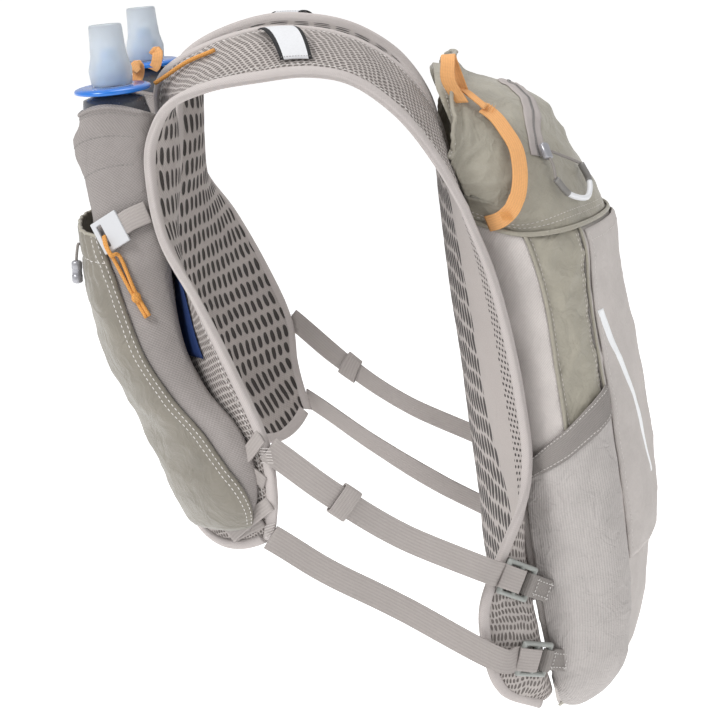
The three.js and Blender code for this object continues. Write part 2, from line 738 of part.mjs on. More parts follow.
// Webbing from the chest to the hip wing, held by a keeper and a buckle
function strapFrame(path, share) {
  const centre = path(share);
  const along = path(Math.min(share + 0.02, 1)).sub(path(Math.max(share - 0.02, 0))).normalize();
  const thick = new THREE.Vector3(1, 0.12, 0.2);
  thick.addScaledVector(along, -thick.dot(along)).normalize();
  return { centre, along, thick, wide: thick.clone().cross(along).normalize() };
}

// A box in a frame with other boxes cut out of it; a box has its middle and half sizes
function frameSolid(name, colour, sign, frame, boxes, finish) {
  const cube = (box) => wasm.Manifold.cube(box.half.map((size) => 2 * size), true).translate(box.middle);
  const solid = boxes.slice(1).reduce((left, box) => left.subtract(cube(box)), cube(boxes[0]));
  return solidMesh(name, colour, sign, frame, solid, finish);
}

function solidMesh(name, colour, sign, frame, solid, finish) {
  const made = solid.getMesh();
  const positions = [];
  for (let i = 0; i < made.vertProperties.length; i += made.numProp) {
    const point = frame.centre.clone()
      .addScaledVector(frame.along, made.vertProperties[i])
      .addScaledVector(frame.wide, made.vertProperties[i + 1])
      .addScaledVector(frame.thick, made.vertProperties[i + 2]);
    const placed = place(sign, point);
    positions.push(placed.x, placed.y, placed.z);
  }
  const indices = Array.from(made.triVerts);
  const handed = frame.along.clone().cross(frame.wide).dot(frame.thick);
  if (sign * handed < 0) {
    indices.reverse();
  }
  return mesh(name, colour, positions, indices, finish);
}

function buckleFrame(row) {
  const centre = backPoint(row.at, row.across, BUCKLE_LIFT);
  const thick = backPoint(row.at, row.across, BUCKLE_LIFT + 3).sub(centre).normalize();
  const along = backBase(row.at, row.across + 0.03).sub(backBase(row.at, row.across - 0.03));
  along.z += row.slope;
  along.addScaledVector(thick, -thick.dot(along)).normalize();
  return { centre, along, thick, wide: thick.clone().cross(along).normalize() };
}

function addSideStrap(sign, strap) {
  const name = `${sideName(sign)}_${strap.level}`;
  const buckle = buckleFrame(strap.buckle);
  const half = BUCKLE_LENGTH / 2;
  const last = buckle.centre.clone().addScaledVector(buckle.along, -half - 3 * GAP);
  const rows = strap.path.map((row) => ({ ...row }));
  const before = last.clone().addScaledVector(buckle.along, -20).addScaledVector(buckle.thick, 3);
  rows.push({ at: 0.85, x: before.x, y: before.y, z: before.z });
  rows.push({ at: 1, x: last.x, y: last.y, z: last.z });
  const path = (share) => {
    const row = sample(rows, share);
    return new THREE.Vector3(row.x, row.y, row.z);
  };
  vest.add(sweep(`${name}_strap`, COLOURS.webbing, sign, 12, (share) => strapFrame(path, share),
    flatSection(WEBBING_WIDTH, TAPE_WALL)));
  const window = (BUCKLE_LENGTH - 3 * BUCKLE_BAR) / 2;
  const shift = (window + BUCKLE_BAR) / 2;
  const side = BUCKLE_WIDTH / 2 - BUCKLE_BAR;
  vest.add(frameSolid(`${name}_buckle`, COLOURS.buckle, sign, buckle, [
    { middle: [0, 0, 0], half: [half, BUCKLE_WIDTH / 2, BUCKLE_THICKNESS / 2] },
    { middle: [-shift, 0, 0], half: [window / 2, side, 3] },
    { middle: [shift, 0, 0], half: [window / 2, side, 3] },
  ], { roughness: 0.45 }));
  if (strap.keeper > 0) {
    const clear = 0.5;
    const halfWidth = WEBBING_WIDTH / 2;
    const halfWall = TAPE_WALL / 2;
    const frame = strapFrame(path, strap.keeper);
    vest.add(frameSolid(`${sideName(sign)}_keeper`, COLOURS.webbing, sign, frame, [
      { middle: [0, 0, 0], half: [KEEPER_LENGTH / 2, halfWidth + KEEPER_WALL, halfWall + KEEPER_WALL] },
      { middle: [0, 0, 0], half: [KEEPER_LENGTH, halfWidth + clear, halfWall + clear] },
    ]));
  }
}

// Closed bar through a few points: normals at its ends give the way its thickness faces.
function bar(name, colour, sign, points, normals, section, count, options = {}) {
  const last = points.length - 1;
  const rows = points.map((point, i) => ({ at: i / last, x: point.x, y: point.y, z: point.z }));
  const path = (share) => {
    const row = sample(rows, THREE.MathUtils.clamp(share, 0, 1));
    return new THREE.Vector3(row.x, row.y, row.z);
  };
  return sweep(name, colour, sign, count, (share) => {
    const along = path(Math.min(share + 0.02, 1)).sub(path(Math.max(share - 0.02, 0))).normalize();
    if (options.wide) {
      return { centre: path(share), wide: options.wide, thick: along.cross(options.wide).normalize() };
    }
    const thick = normals[0].clone().lerp(normals[1], share);
    thick.addScaledVector(along, -thick.dot(along)).normalize();
    return { centre: path(share), wide: thick.clone().cross(along).normalize(), thick };
  }, section, options);
}

// Several closed meshes made into one solid
function joined(name, colour, parts, finish) {
  const solids = parts.map((part) => new wasm.Manifold(new wasm.Mesh({
    numProp: 3,
    vertProperties: new Float32Array(part.geometry.attributes.position.array),
    triVerts: new Uint32Array(part.geometry.index.array),
  })));
  const made = solids.slice(1).reduce((sum, solid) => sum.add(solid), solids[0]).getMesh();
  return mesh(name, colour, Array.from(made.vertProperties), Array.from(made.triVerts), finish);
}

// Clip plate on the bottle pocket, its webbing to the arm edge and the cord looped through its slot
function addClip(sign) {
  const name = sideName(sign);
  const thick = normalAt(bottleBase, CLIP.at, CLIP.across);
  const seat = bottlePoint(CLIP.at, CLIP.across, CLOTH_WALL + 4 * GAP + CLIP.wall / 2);
  const end = strapPoint(CLIP.at + 0.022, -0.05, STRAP_WALL + 4.2);
  const along = end.clone().sub(seat);
  along.addScaledVector(thick, -thick.dot(along)).normalize();
  const wide = thick.clone().cross(along).normalize();
  const frame = { centre: seat, along, thick, wide };
  vest.add(frameSolid(`${name}_clip_plate`, COLOURS.white, sign, frame, [
    { middle: [0, 0, 0], half: [CLIP.length / 2, CLIP.width / 2, CLIP.wall / 2] },
    { middle: [-CLIP.length / 4, 0, 0], half: [CLIP.slot / 2, CLIP.width * 0.35, CLIP.wall] },
  ], { roughness: 0.4 }));
  const start = seat.clone().addScaledVector(along, CLIP.length / 2 + 6 * GAP);
  const bend = bottlePoint(CLIP.at + 0.012, 0.07, CLOTH_WALL + 2.8);
  const flank = normalAt(bottleBase, CLIP.at, 0.05);
  vest.add(bar(`${name}_clip_webbing`, COLOURS.webbing, sign, [start, bend, end], [thick, flank],
    flatSection(13, TAPE_WALL), 5));
  const parts = [1, -1].map((half) => {
    const points = PULL_CORD.map((row) => {
      const spread = 2.1 * half * (row.at < 0.5 ? 1 : 0.55);
      return bottlePoint(row.along, row.across, row.lift).addScaledVector(along, spread);
    });
    const slot = seat.clone().addScaledVector(along, -CLIP.length / 4);
    slot.addScaledVector(along, 0.3 * half);
    const over = CLIP.wall / 2 + 2.6;
    points[0] = slot.clone().addScaledVector(wide, -CLIP.width * 0.62).addScaledVector(thick, over);
    points.unshift(slot.clone().addScaledVector(wide, -CLIP.width * 0.3).addScaledVector(thick, over));
    points.unshift(slot.clone().addScaledVector(thick, 0.4));
    return bar('strand', COLOURS.cord, sign, points, [thick, thick], roundSection(2.3, 2.3, 8), 8);
  });
  const knot = bottlePoint(0.292, 0.157, 3.8);
  const knotRings = [-3, -2, 0, 2, 3].map((height) => {
    const radius = 2.9 * Math.sqrt(1 - (height / 3.3) ** 2);
    return Array.from({ length: 8 }, (_, i) => {
      const angle = (Math.PI * i) / 4;
      return knot.clone().add(new THREE.Vector3(radius * Math.cos(angle), radius * Math.sin(angle), height));
    });
  });
  parts.push(vessel('knot', COLOURS.cord, sign, knotRings));
  vest.add(joined(`${name}_pull_cord`, COLOURS.cord, parts));
}

// Toggle hanging on the front pocket, label band over the shoulder and the short cord from flask to strap
function addTrims(sign) {
  const name = sideName(sign);
  const cloth = sample(FRONT_POCKET, TOGGLE.at);
  const hang = bottlePoint(TOGGLE.at, TOGGLE.across, cloth.depth + CLOTH_WALL * 2 + 5 * GAP + TOGGLE.radius);
  const half = TOGGLE.length / 2;
  const rings = [
    [-half, TOGGLE.radius * 0.6], [1.2 - half, TOGGLE.radius], [half - 1.2, TOGGLE.radius],
    [half, TOGGLE.radius * 0.6], [half + 0.4, 1.0], [half + TOGGLE.stem, 1.0],
  ].map(([height, radius]) => Array.from({ length: 8 }, (_, i) => {
    const angle = (Math.PI * i) / 4;
    return hang.clone().add(new THREE.Vector3(radius * Math.cos(angle), radius * Math.sin(angle), height));
  }));
  vest.add(vessel(`${name}_toggle`, COLOURS.silver, sign, rings, { roughness: 0.35 }));
  vest.add(sheet(`${name}_label_band`, COLOURS.white, sign, 2, 6, (a, b) => {
    const at = LABEL.at + LABEL.length * a + LABEL.slant * (1 - b);
    const lift = STRAP_WALL + 2 * GAP + LABEL.arch * Math.sin(Math.PI * b) ** 0.8;
    return strapPoint(at, LABEL.across + LABEL.reach * b, lift);
  }, 0.8));
  const behind = FLASK_NECK.y + COLLAR_HALF_DEPTH + 1.2;
  const back = new THREE.Vector3(FLASK_NECK.x - 8, behind, FLASK_NECK.z + 3.5);
  const outward = strapOutward(0.58);
  vest.add(bar(`${name}_flask_cord`, COLOURS.cord, sign, [
    back,
    strapPoint(0.557, 0.80, STRAP_WALL + 4),
    strapPoint(0.580, 0.75, STRAP_WALL + 2.2),
    strapPoint(0.606, 0.68, STRAP_WALL + 1.75),
  ], [outward, outward], roundSection(2.6, 2.6, 8), 8));
}

// Hang loop at the top hem and the puller hanging from the zipper by its cord
function addPackTrims() {
  const wide = new THREE.Vector3(0.35, 1, 0.1).normalize();
  vest.add(bar('top_loop', COLOURS.orange, 1, [
    packPoint(0.985, 0.51, CLOTH_WALL + 1.2),
    new THREE.Vector3(64, 89, -9),
    new THREE.Vector3(62, 88.5, 2),
    new THREE.Vector3(56, 89, 5.5),
    new THREE.Vector3(50, 90.5, 2),
    packPoint(0.985, 0.42, CLOTH_WALL + 1.2),
  ], [new THREE.Vector3(1, 0, 0), new THREE.Vector3(-1, 0, 0)], flatSection(9, 1.3), 10, { wide }));
  const onRoof = (row) => packPoint(row.along, row.across, CLOTH_WALL + row.lift);
  const up = normalAt(packBase, 0.86, 0.3);
  vest.add(bar('zipper_puller', COLOURS.white, 1, PULLER.map(onRoof), [up, up], roundSection(3.6, 3.6, 8), 12,
    { finish: { roughness: 0.4 } }));
  const ends = [PULLER[0], PULLER[4]].map(onRoof);
  const slider = onRoof({ along: 0.893, across: 0.42, lift: 3 });
  vest.add(bar('zipper_cord', COLOURS.black, 1, [
    ends[0].clone().lerp(slider, 0.12), ends[0].clone().lerp(slider, 0.6), slider,
  ], [up, up], roundSection(1.8, 1.8, 8), 6));
}

function addBackPanel() {
  vest.add(sheet('back_panel', COLOURS.strap, 1, 14, 12,
    (a, b) => backBase(mix(0.004, 1, a), 2 * b), STRAP_WALL));
}

// Pieces of the pack are cut from its surface along the seams
function packPiece(name, colour, sign, low, high, from, to, rows, columns, lift = 0, bulge = null) {
  vest.add(sheet(name, colour, sign, rows, columns, (a, b) => {
    const at = mix(low, high, a);
    const across = mix(from(at), to(at), b);
    const off = lift + (bulge ? bulge(a, b) : 0);
    return off === 0 ? packBase(at, across) : packPoint(at, across, off);
  }, CLOTH_WALL));
}

function addPack() {
  const top = ROOF_START - 0.005;
  const seam = (share, side) => (at) => share + side * (0.005 + 0.014 * (1 - ramp(at, 0, 0.14)));
  const fixed = (share) => () => share;
  for (const sign of [1, -1]) {
    const name = sideName(sign);
    const sideSeam = [seam(SIDE_SHARE, 1), seam(SIDE_SHARE, -1)];
    packPiece(`${name}_side_panel`, COLOURS.grey, sign, 0, top, fixed(1), sideSeam[0], 12, 2);
    packPiece(`${name}_gusset`, COLOURS.olive, sign, 0, top, sideSeam[1], seam(REAR_SHARE, 1), 12, 3);
    addSidePocket(sign);
    const lift = CLOTH_WALL + 0.5;
    vest.add(ribbon(`${name}_side_loop`, COLOURS.orange, sign, packPoint, SIDE_LOOP, 10, 1.2, lift, 10));
  }
  packPiece('pack_back', COLOURS.grey, 1, 0, top, seam(REAR_SHARE, -1), seam(-REAR_SHARE, 1), 12, 6);
  packPiece('pack_roof', COLOURS.olive, 1, ROOF_START, 1, fixed(1), fixed(-1), 7, 14);
  packPiece('back_pocket', COLOURS.grey, 1, 0.30, top - 0.005, fixed(0.385), fixed(-0.385), 8, 6, POCKET_LIFT,
    (a, b) => 1 + 4 * Math.sin(Math.PI * b) ** 0.7 * (1 - 0.75 * a));
  vest.add(ribbon('zipper_tape', COLOURS.grey, 1, packPoint, ZIPPER, 13, 0.8, CLOTH_WALL + 0.5, 10));
}

// Ribbed side pocket from its slanting mouth to the pack's bottom, with the band along the mouth
function addSidePocket(sign) {
  const name = sideName(sign);
  const rows = (b) => sample(SIDE_POCKET, b);
  const pocketPoint = (a, b) => {
    const row = rows(b);
    const at = mix(row.low, row.high, a);
    const off = POCKET_LIFT + row.bulge * Math.sin(Math.PI * Math.min(a * 0.9 + 0.05, 1)) ** 0.6;
    return packPoint(at, row.across, off);
  };
  vest.add(sheet(`${name}_side_pocket`, COLOURS.grey, sign, 7, 8, pocketPoint, CLOTH_WALL));
}

for (const sign of [1, -1]) {
  addStrap(sign);
  addBinding('arm_binding', sign, armLine, 36, 0.006);
  addBinding('neck_binding', sign, neckLine, 34, 0.006);
  addPockets(sign);
  addFlask(sign);
  addClip(sign);
  addTrims(sign);
  for (const strap of SIDE_STRAPS) {
    addSideStrap(sign, strap);
  }
}
addBackPanel();
addPack();
addPackTrims();

export default vest;
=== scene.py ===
"""Looks of a running hydration vest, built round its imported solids."""

import math

import bmesh
import bpy
import numpy as np
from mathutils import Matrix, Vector


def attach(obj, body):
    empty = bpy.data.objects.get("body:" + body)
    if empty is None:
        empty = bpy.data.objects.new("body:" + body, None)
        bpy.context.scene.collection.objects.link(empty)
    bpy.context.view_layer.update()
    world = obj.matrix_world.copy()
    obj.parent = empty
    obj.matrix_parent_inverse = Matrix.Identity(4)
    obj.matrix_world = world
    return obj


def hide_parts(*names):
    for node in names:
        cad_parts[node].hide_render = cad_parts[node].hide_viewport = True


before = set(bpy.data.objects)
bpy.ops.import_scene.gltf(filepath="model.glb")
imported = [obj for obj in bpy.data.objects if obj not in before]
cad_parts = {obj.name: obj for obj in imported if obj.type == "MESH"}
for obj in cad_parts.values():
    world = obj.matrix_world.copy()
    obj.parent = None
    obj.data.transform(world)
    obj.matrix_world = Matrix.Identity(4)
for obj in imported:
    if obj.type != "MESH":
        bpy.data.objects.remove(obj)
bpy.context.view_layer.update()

# Angles in radians, and the colour of no light
FULL_TURN = 6.283185
EIGHTH_TURN = 0.785
NO_LIGHT = (0, 0, 0, 1)

# Sizes in millimetres, and shares along or across a surface; most of them are the solids' too
GAP = 0.3
STRAP_WALL = 3.6
CLOTH_WALL = 1.2
EDGE_INSET = 7.0
BINDING_WIDTH = 6.2
BINDING_INSET = BINDING_WIDTH / 2 - EDGE_INSET
TAPE_WALL = 1.4
WEBBING_WIDTH = 15.5
BUCKLE_LENGTH = 25
BUCKLE_LIFT = 6.2
POCKET_LIFT = 2.2
HIP_SHARE = 0.68
SIDE_SHARE = 0.72
REAR_SHARE = 0.42
STRAP_START = 0.012
STRAP_END = 0.997
ROOF_START = 0.805
RIM_DROP = 0.022
FRONT_DROP = 0.03
WING_TURN = 32
WING_DROP = 10
NECK = np.array([81, -109.5, -13.0])
LEAN = math.radians(5)
COLLAR_HALF_DEPTH = 22.5
FLASK_CLEAR = 2.4
PACK_TOP = ROOF_START - 0.005
BACK_POCKET_LOW = 0.30
BACK_POCKET_HIGH = PACK_TOP - 0.005
BACK_POCKET_HALF = 0.385
SEWN_LIFT = 0.1
PULL_CORD_SIZE = 2.3
FLASK_CORD_SIZE = 2.6
ZIPPER_CORD_SIZE = 1.8

# Outer faces of the sheets made so far, by name
outers = {}


def table(names, rows):
    """Rows of numbers under their column names; the first column is the place."""
    return names.split()[1:], np.array(rows, float)


# Sections of the left half: at is the share along a part, and _x, _y and _z are millimetres
STRAP = table("at arm_x arm_y arm_z neck_x neck_y neck_z crown bow", [
    [0.00, 138, -15, -268, 90, -64, -278, 3, 11],
    [0.05, 150.5, -12, -240, 84, -71, -256, 5, 3],
    [0.12, 152.5, -16, -208, 74, -80, -222, 6, 0],
    [0.20, 150, -32, -170, 62, -88, -182, 5, 0],
    [0.28, 142, -55, -126, 52, -91, -138, -3, 0],
    [0.36, 128, -77, -92, 46, -90, -98, -11, 0],
    [0.44, 117, -86, -55, 43, -87, -60, -15, 0],
    [0.49, 113.5, -84, -36, 46, -87, -34, -14, 0],
    [0.54, 113, -72, -19, 54, -84, -9, -7, 0],
    [0.585, 115, -50, -10, 60, -64, 6, 0, 0],
    [0.64, 115, -21, -5, 59, -28, 18, 4, 0],
    [0.70, 115, 7, -2, 54, 6, 18.5, 4, 0],
    [0.75, 114.5, 32, -7, 55, 34, 11.5, 4, 0],
    [0.80, 113, 57, -25, 57, 60, -4.5, 3, 0],
    [0.87, 110, 78, -51, 54, 79, -30, 2, 0],
    [1.00, 107, 97, -82, 50, 89, -66, 0, 0],
])

BACK = table("at mid_y mid_z hip_x hip_y hip_z edge_x edge_y edge_z", [
    [0.00, 84, -63, 66, 90, -71, 107, 97, -83],
    [0.12, 89, -105, 66, 99, -112, 103.5, 113, -120],
    [0.26, 96, -155, 67, 109, -160, 100.5, 126, -164],
    [0.40, 104, -203, 69, 117, -206, 99, 135, -207],
    [0.52, 109, -240, 76, 126, -242, 99.5, 138.5, -238],
    [0.62, 114, -272, 90, 134, -272, 107, 133, -266],
    [0.70, 118, -300, 97, 136, -300, 116, 121, -292],
    [0.78, 121, -328, 98, 141, -328, 122, 110, -322],
    [0.86, 127, -356, 98, 147, -356, 121, 112, -350],
    [0.94, 139, -385, 92, 153, -384, 112, 124, -384],
    [1.00, 152, -404, 76, 159, -404, 92, 150, -404],
])

PACK = table("at side_x side_y side_z rear_x rear_y rear_z back_y back_z", [
    [0.00, 66, 168, -419, 46, 186, -421, 195, -416],
    [0.08, 88, 176, -396, 66, 200, -400, 212, -399],
    [0.16, 95, 179, -366, 78, 208, -370, 228, -372],
    [0.28, 97, 175, -318, 83, 206, -318, 233, -318],
    [0.40, 95, 168, -268, 82, 199, -268, 229, -266],
    [0.51, 93, 163, -220, 78, 190, -212, 221, -216],
    [0.60, 92, 156, -181, 75, 183, -175, 213, -176],
    [0.70, 92, 148, -138, 73, 176, -136, 204, -138],
    [0.78, 92, 137, -104, 72, 172, -105, 199, -103],
    [0.85, 91, 126, -84, 66, 158, -75, 186, -77],
    [0.90, 87, 116, -66, 60, 144, -50, 164, -43],
    [0.95, 82, 105, -50, 52, 126, -28, 146, -22],
    [1.00, 76, 92, -37, 54, 83, -14, 83, -4],
])

PACK_SEAM = table("at hold_at hold_in", [
    [0.00, 0.975, 0.36],
    [0.08, 0.93, 0.35],
    [0.16, 0.86, 0.35],
    [0.28, 0.75, 0.35],
    [0.40, 0.61, 0.30],
    [0.51, 0.49, 0.12],
    [0.60, 0.33, 0.10],
    [0.70, 0.18, 0.10],
    [0.78, 0.07, 0.11],
    [0.85, 0.01, 0.12],
    [0.90, -0.03, 0.14],
    [0.95, -0.06, 0.15],
    [1.00, -0.10, 0.17],
])

BOTTLE_POCKET = table("at arm_in neck_in mouth depth square", [
    [0.018, 0.14, 0.90, 0.0, 8, 0.90],
    [0.035, 0.10, 0.90, 0.0, 13, 0.90],
    [0.070, 0.06, 0.92, 0.3, 17.5, 0.90],
    [0.110, 0.07, 0.93, 0.6, 19.5, 0.86],
    [0.150, 0.11, 0.94, 1.5, 20, 0.80],
    [0.190, 0.22, 0.94, 4.0, 22.5, 0.74],
    [0.240, 0.30, 0.94, 6.0, 29.5, 0.68],
    [0.300, 0.25, 0.94, 5.0, 35.5, 0.62],
    [0.345, 0.10, 0.94, 2.0, 37.5, 0.60],
    [0.390, 0.04, 0.96, 1.2, 38.5, 0.58],
    [0.440, 0.04, 0.96, 1.4, 44, 0.55],
    [0.468, 0.04, 0.96, 1.4, 49, 0.52],
    [0.485, 0.04, 0.96, 1.2, 45, 0.52],
    [0.518, 0.04, 0.96, 1.2, 51.5, 0.52],
])

FRONT_POCKET = table("at seam front depth", [
    [0.025, 0.06, 0.90, 2.0],
    [0.045, 0.08, 0.91, 4.0],
    [0.070, 0.14, 0.92, 5.5],
    [0.100, 0.22, 0.93, 6.0],
    [0.150, 0.27, 0.93, 7.5],
    [0.200, 0.265, 0.93, 8.5],
    [0.260, 0.26, 0.93, 8.5],
    [0.320, 0.275, 0.93, 8.5],
    [0.365, 0.31, 0.93, 8.5],
    [0.400, 0.35, 0.92, 6.0],
])

SIDE_POCKET = table("at across low high bulge", [
    [0.00, 0.955, 0.07, 0.475, 1.0],
    [0.25, 0.82, 0.035, 0.500, 2.5],
    [0.50, 0.64, 0.03, 0.525, 3.0],
    [0.75, 0.46, 0.03, 0.545, 2.0],
    [1.00, 0.42, 0.03, 0.550, 0.3],
])

SIDE_LOOP = table("at along across lift", [
    [0.0, 0.968, 0.49, 0],
    [0.2, 0.943, 0.54, 2],
    [0.4, 0.910, 0.57, 4],
    [0.6, 0.875, 0.65, 4],
    [0.8, 0.845, 0.765, 2],
    [1.0, 0.812, 0.90, 0],
])

ZIPPER = table("at along across", [
    [0.00, 0.893, -0.44],
    [0.18, 0.930, -0.32],
    [0.50, 0.965, 0],
    [0.82, 0.930, 0.32],
    [1.00, 0.893, 0.44],
])

PULLER = table("at along across lift", [
    [0.00, 0.868, 0.20, 2.4],
    [0.25, 0.850, 0.21, 2.5],
    [0.50, 0.832, 0.30, 2.6],
    [0.75, 0.842, 0.41, 2.5],
    [1.00, 0.864, 0.45, 2.4],
])

PULL_CORD = table("at along across lift", [
    [0.0, 0.366, 0.235, 5.2],
    [0.3, 0.345, 0.205, 3.6],
    [0.7, 0.300, 0.165, 3.2],
    [1.0, 0.268, 0.125, 3.6],
])


def knots(keys, values, at):
    """Smooth curve through values at keys; values holds one set of rows for each place, or one for all."""
    last = len(keys) - 1
    row = np.searchsorted(keys[1:last], at, side="left")
    pick = (lambda i: values[i]) if values.ndim == 2 else (lambda i: values[np.arange(len(at)), i])
    back, ahead = np.maximum(row - 1, 0), np.minimum(row + 2, last)
    before, start, end, after = pick(back), pick(row), pick(row + 1), pick(ahead)
    span = (keys[row + 1] - keys[row])[:, None]
    t = ((at - keys[row]) / span[:, 0])[:, None]
    start_slope = (end - before) / (keys[row + 1] - keys[back])[:, None]
    end_slope = (after - start) / (keys[ahead] - keys[row])[:, None]
    rise = t * t * (3 - 2 * t)
    bend = start_slope * t * (1 - t) ** 2 - end_slope * t * t * (1 - t)
    return start * (1 - rise) + end * rise + span * bend


def sample(rows, at):
    names, numbers = rows
    values = knots(numbers[:, 0], numbers[:, 1:], np.asarray(at, float).ravel())
    return dict(zip(names, values.T))


def xyz(row, name):
    return np.stack([row[name + "_x"], row[name + "_y"], row[name + "_z"]], -1)


def unit(vectors):
    return vectors / np.maximum(np.linalg.norm(vectors, axis=-1, keepdims=True), 1e-9)


def mix(a, b, t):
    return a + (b - a) * t


def ramp(value, low, high):
    t = np.clip((value - low) / (high - low), 0, 1)
    return t * t * (3 - 2 * t)


def run_along(points):
    """How far each point lies along its path"""
    return np.concatenate([[0], np.cumsum(np.linalg.norm(np.diff(points, axis=0), axis=1))])


def place(sign, points):
    """Puts points made for the left side on the side asked for, with the far wing as it sits."""
    x = points[..., 0] * sign
    wing = ramp(-x, 60, 112) * ramp(-points[..., 2], 235, 315)
    return np.stack([x, points[..., 1] + WING_TURN * wing, points[..., 2] - WING_DROP * wing], -1)


def lifted(surface, at, across, lift, away=None):
    """Points over a surface, raised along its normal."""
    at, across = np.broadcast_arrays(np.asarray(at, float), np.asarray(across, float))
    shape, at, across = at.shape, at.ravel(), across.ravel()
    near = across if away is None else np.clip(across, away, 1 - away)
    step = 0.004
    along = surface(at + step, near) - surface(at - step, near)
    wide = surface(at, near + step) - surface(at, near - step)
    normal = unit(np.cross(along, wide))
    rise = np.broadcast_to(np.asarray(lift, float), shape).ravel()[:, None]
    return (surface(at, across) + normal * rise).reshape(shape + (3,))


def strap_outward(at):
    """Directions that point away from the body, square to the strap"""
    row = sample(STRAP, at)
    ahead = sample(STRAP, np.minimum(at + 0.01, 1))
    behind = sample(STRAP, np.maximum(at - 0.01, 0))
    along = xyz(ahead, "arm") + xyz(ahead, "neck") - xyz(behind, "arm") - xyz(behind, "neck")
    return unit(np.cross(along, xyz(row, "neck") - xyz(row, "arm")))


def strap_base(at, across):
    row = sample(STRAP, at)
    arm, neck = xyz(row, "arm"), xyz(row, "neck")
    width = np.linalg.norm(neck - arm, axis=1)
    share = (EDGE_INSET + (width - 2 * EDGE_INSET) * across) / width
    hump = 4 * share * (1 - share)
    points = arm + (neck - arm) * share[:, None] + strap_outward(at) * (row["crown"] * hump)[:, None]
    points[:, 2] -= row["bow"] * hump
    return points


def strap_point(at, across, lift):
    return lifted(strap_base, at, across, lift)


def back_base(at, across):
    row = sample(BACK, at)
    hip, edge = xyz(row, "hip"), xyz(row, "edge")
    middle = np.stack([0 * row["mid_y"], row["mid_y"], row["mid_z"]], -1)
    flip = np.array([-1, 1, 1])
    values = np.stack([edge * flip, hip * flip, middle, hip, edge], 1)
    reach = 1 - EDGE_INSET * (1 - HIP_SHARE) / np.linalg.norm(edge - hip, axis=1)
    return knots(np.array([-1, -HIP_SHARE, 0, HIP_SHARE, 1]), values, (1 - across) * reach)


def back_point(at, across, lift):
    return lifted(back_base, at, across, lift)


def pack_base(at, across):
    row, seam = sample(PACK, at), sample(PACK_SEAM, at)
    on_strap = seam["hold_at"] < 0
    lift = STRAP_WALL + GAP + 1.3
    sewn = np.where(
        on_strap[:, None],
        strap_point(np.where(on_strap, 1 + seam["hold_at"], 0.9), seam["hold_in"] * 1.7, lift),
        back_point(np.where(on_strap, 0.1, seam["hold_at"]), seam["hold_in"], lift),
    )
    rear, side = xyz(row, "rear"), xyz(row, "side")
    middle = np.stack([0 * row["back_y"], row["back_y"], row["back_z"]], -1)
    flip = np.array([-1, 1, 1])
    values = np.stack([sewn * flip, side * flip, rear * flip, middle, rear, side, sewn], 1)
    keys = np.array([-1, -SIDE_SHARE, -REAR_SHARE, 0, REAR_SHARE, SIDE_SHARE, 1])
    return knots(keys, values, across)


def pack_point(at, across, lift):
    return lifted(pack_base, at, across, lift)


def bottle_base(at, across):
    row = sample(BOTTLE_POCKET, at)
    arm = strap_point(at, row["arm_in"], STRAP_WALL + GAP + row["mouth"])
    neck = strap_point(at, row["neck_in"], STRAP_WALL + GAP + np.minimum(row["mouth"], 1.2))
    cos = np.cos(math.pi * across)
    wide = np.sign(cos) * np.abs(cos) ** row["square"]
    high = np.maximum(np.sin(math.pi * across), 0) ** row["square"] * row["depth"]
    return (arm + neck) / 2 + (arm - neck) / 2 * wide[:, None] + strap_outward(at) * high[:, None]


def bottle_point(at, across, lift):
    return lifted(bottle_base, at, across, lift, 0.02)


def standing(surface, at, across, lift=0.0):
    """Directions square to a surface"""
    return unit(surface(at, across, lift + 3) - surface(at, across, lift))


def grid(rows, columns):
    return np.meshgrid(np.linspace(0, 1, rows + 1), np.linspace(0, 1, columns + 1), indexing="ij")


def folds(u, v, seed, size, height):
    """Soft uneven creases over a cloth, from a few crossing waves; u and v in millimetres."""
    wave = np.random.default_rng(seed)
    total = np.zeros_like(u)
    for i in range(7):
        turn = wave.uniform(0, math.pi)
        length = size * wave.uniform(0.5, 1.7)
        start = wave.uniform(0, 6.28)
        other_way = u * math.sin(turn) - v * math.cos(turn)
        drift = start + 1.3 * np.sin(other_way / (length * 2.1) + i)
        this_way = u * math.cos(turn) + v * math.sin(turn)
        phase = 2 * math.pi * this_way / length + drift
        total += (1 - np.abs(np.sin(phase / 2))) ** 2 - 0.35
    return total * height / 3


def creased(seed, size, height):
    """A relief of creases alone"""
    return lambda u, v: folds(u, v, seed, size, height)


def held(share, width):
    """1 over a sheet's middle, falling to 0 at its two edges"""
    return ramp(share, 0, width) * ramp(1 - share, 0, width)


def groove(share, at, width):
    """1 at one share of a sheet, falling to 0 on both sides of it"""
    return np.exp(-((share - at) / width) ** 2)


def build(name, points, faces, uv, materials, marks=None):
    """A mesh in metres from points in millimetres"""
    made = bpy.data.meshes.new(name)
    made.from_pydata((np.asarray(points, float) / 1000).tolist(), [], [list(f) for f in faces])
    layer = made.uv_layers.new(name="UVMap")
    corner = np.zeros(len(made.loops), int)
    made.loops.foreach_get("vertex_index", corner)
    layer.data.foreach_set("uv", (np.asarray(uv, float)[corner] / 1000).ravel())
    for key, values in (marks or {}).items():
        mark = made.attributes.new(key, "FLOAT", "POINT")
        mark.data.foreach_set("value", np.asarray(values, np.float32))
    for material in materials:
        made.materials.append(material)
    made.polygons.foreach_set("use_smooth", [True] * len(made.polygons))
    obj = bpy.data.objects.new(name, made)
    bpy.context.scene.collection.objects.link(obj)
    return obj


def outward(obj):
    work = bmesh.new()
    work.from_mesh(obj.data)
    bmesh.ops.recalc_face_normals(work, faces=work.faces)
    work.to_mesh(obj.data)
    work.free()


def wear_on(obj, body, slot, *nodes):
    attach(obj, body)
    if nodes:
        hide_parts(*nodes)
    return obj


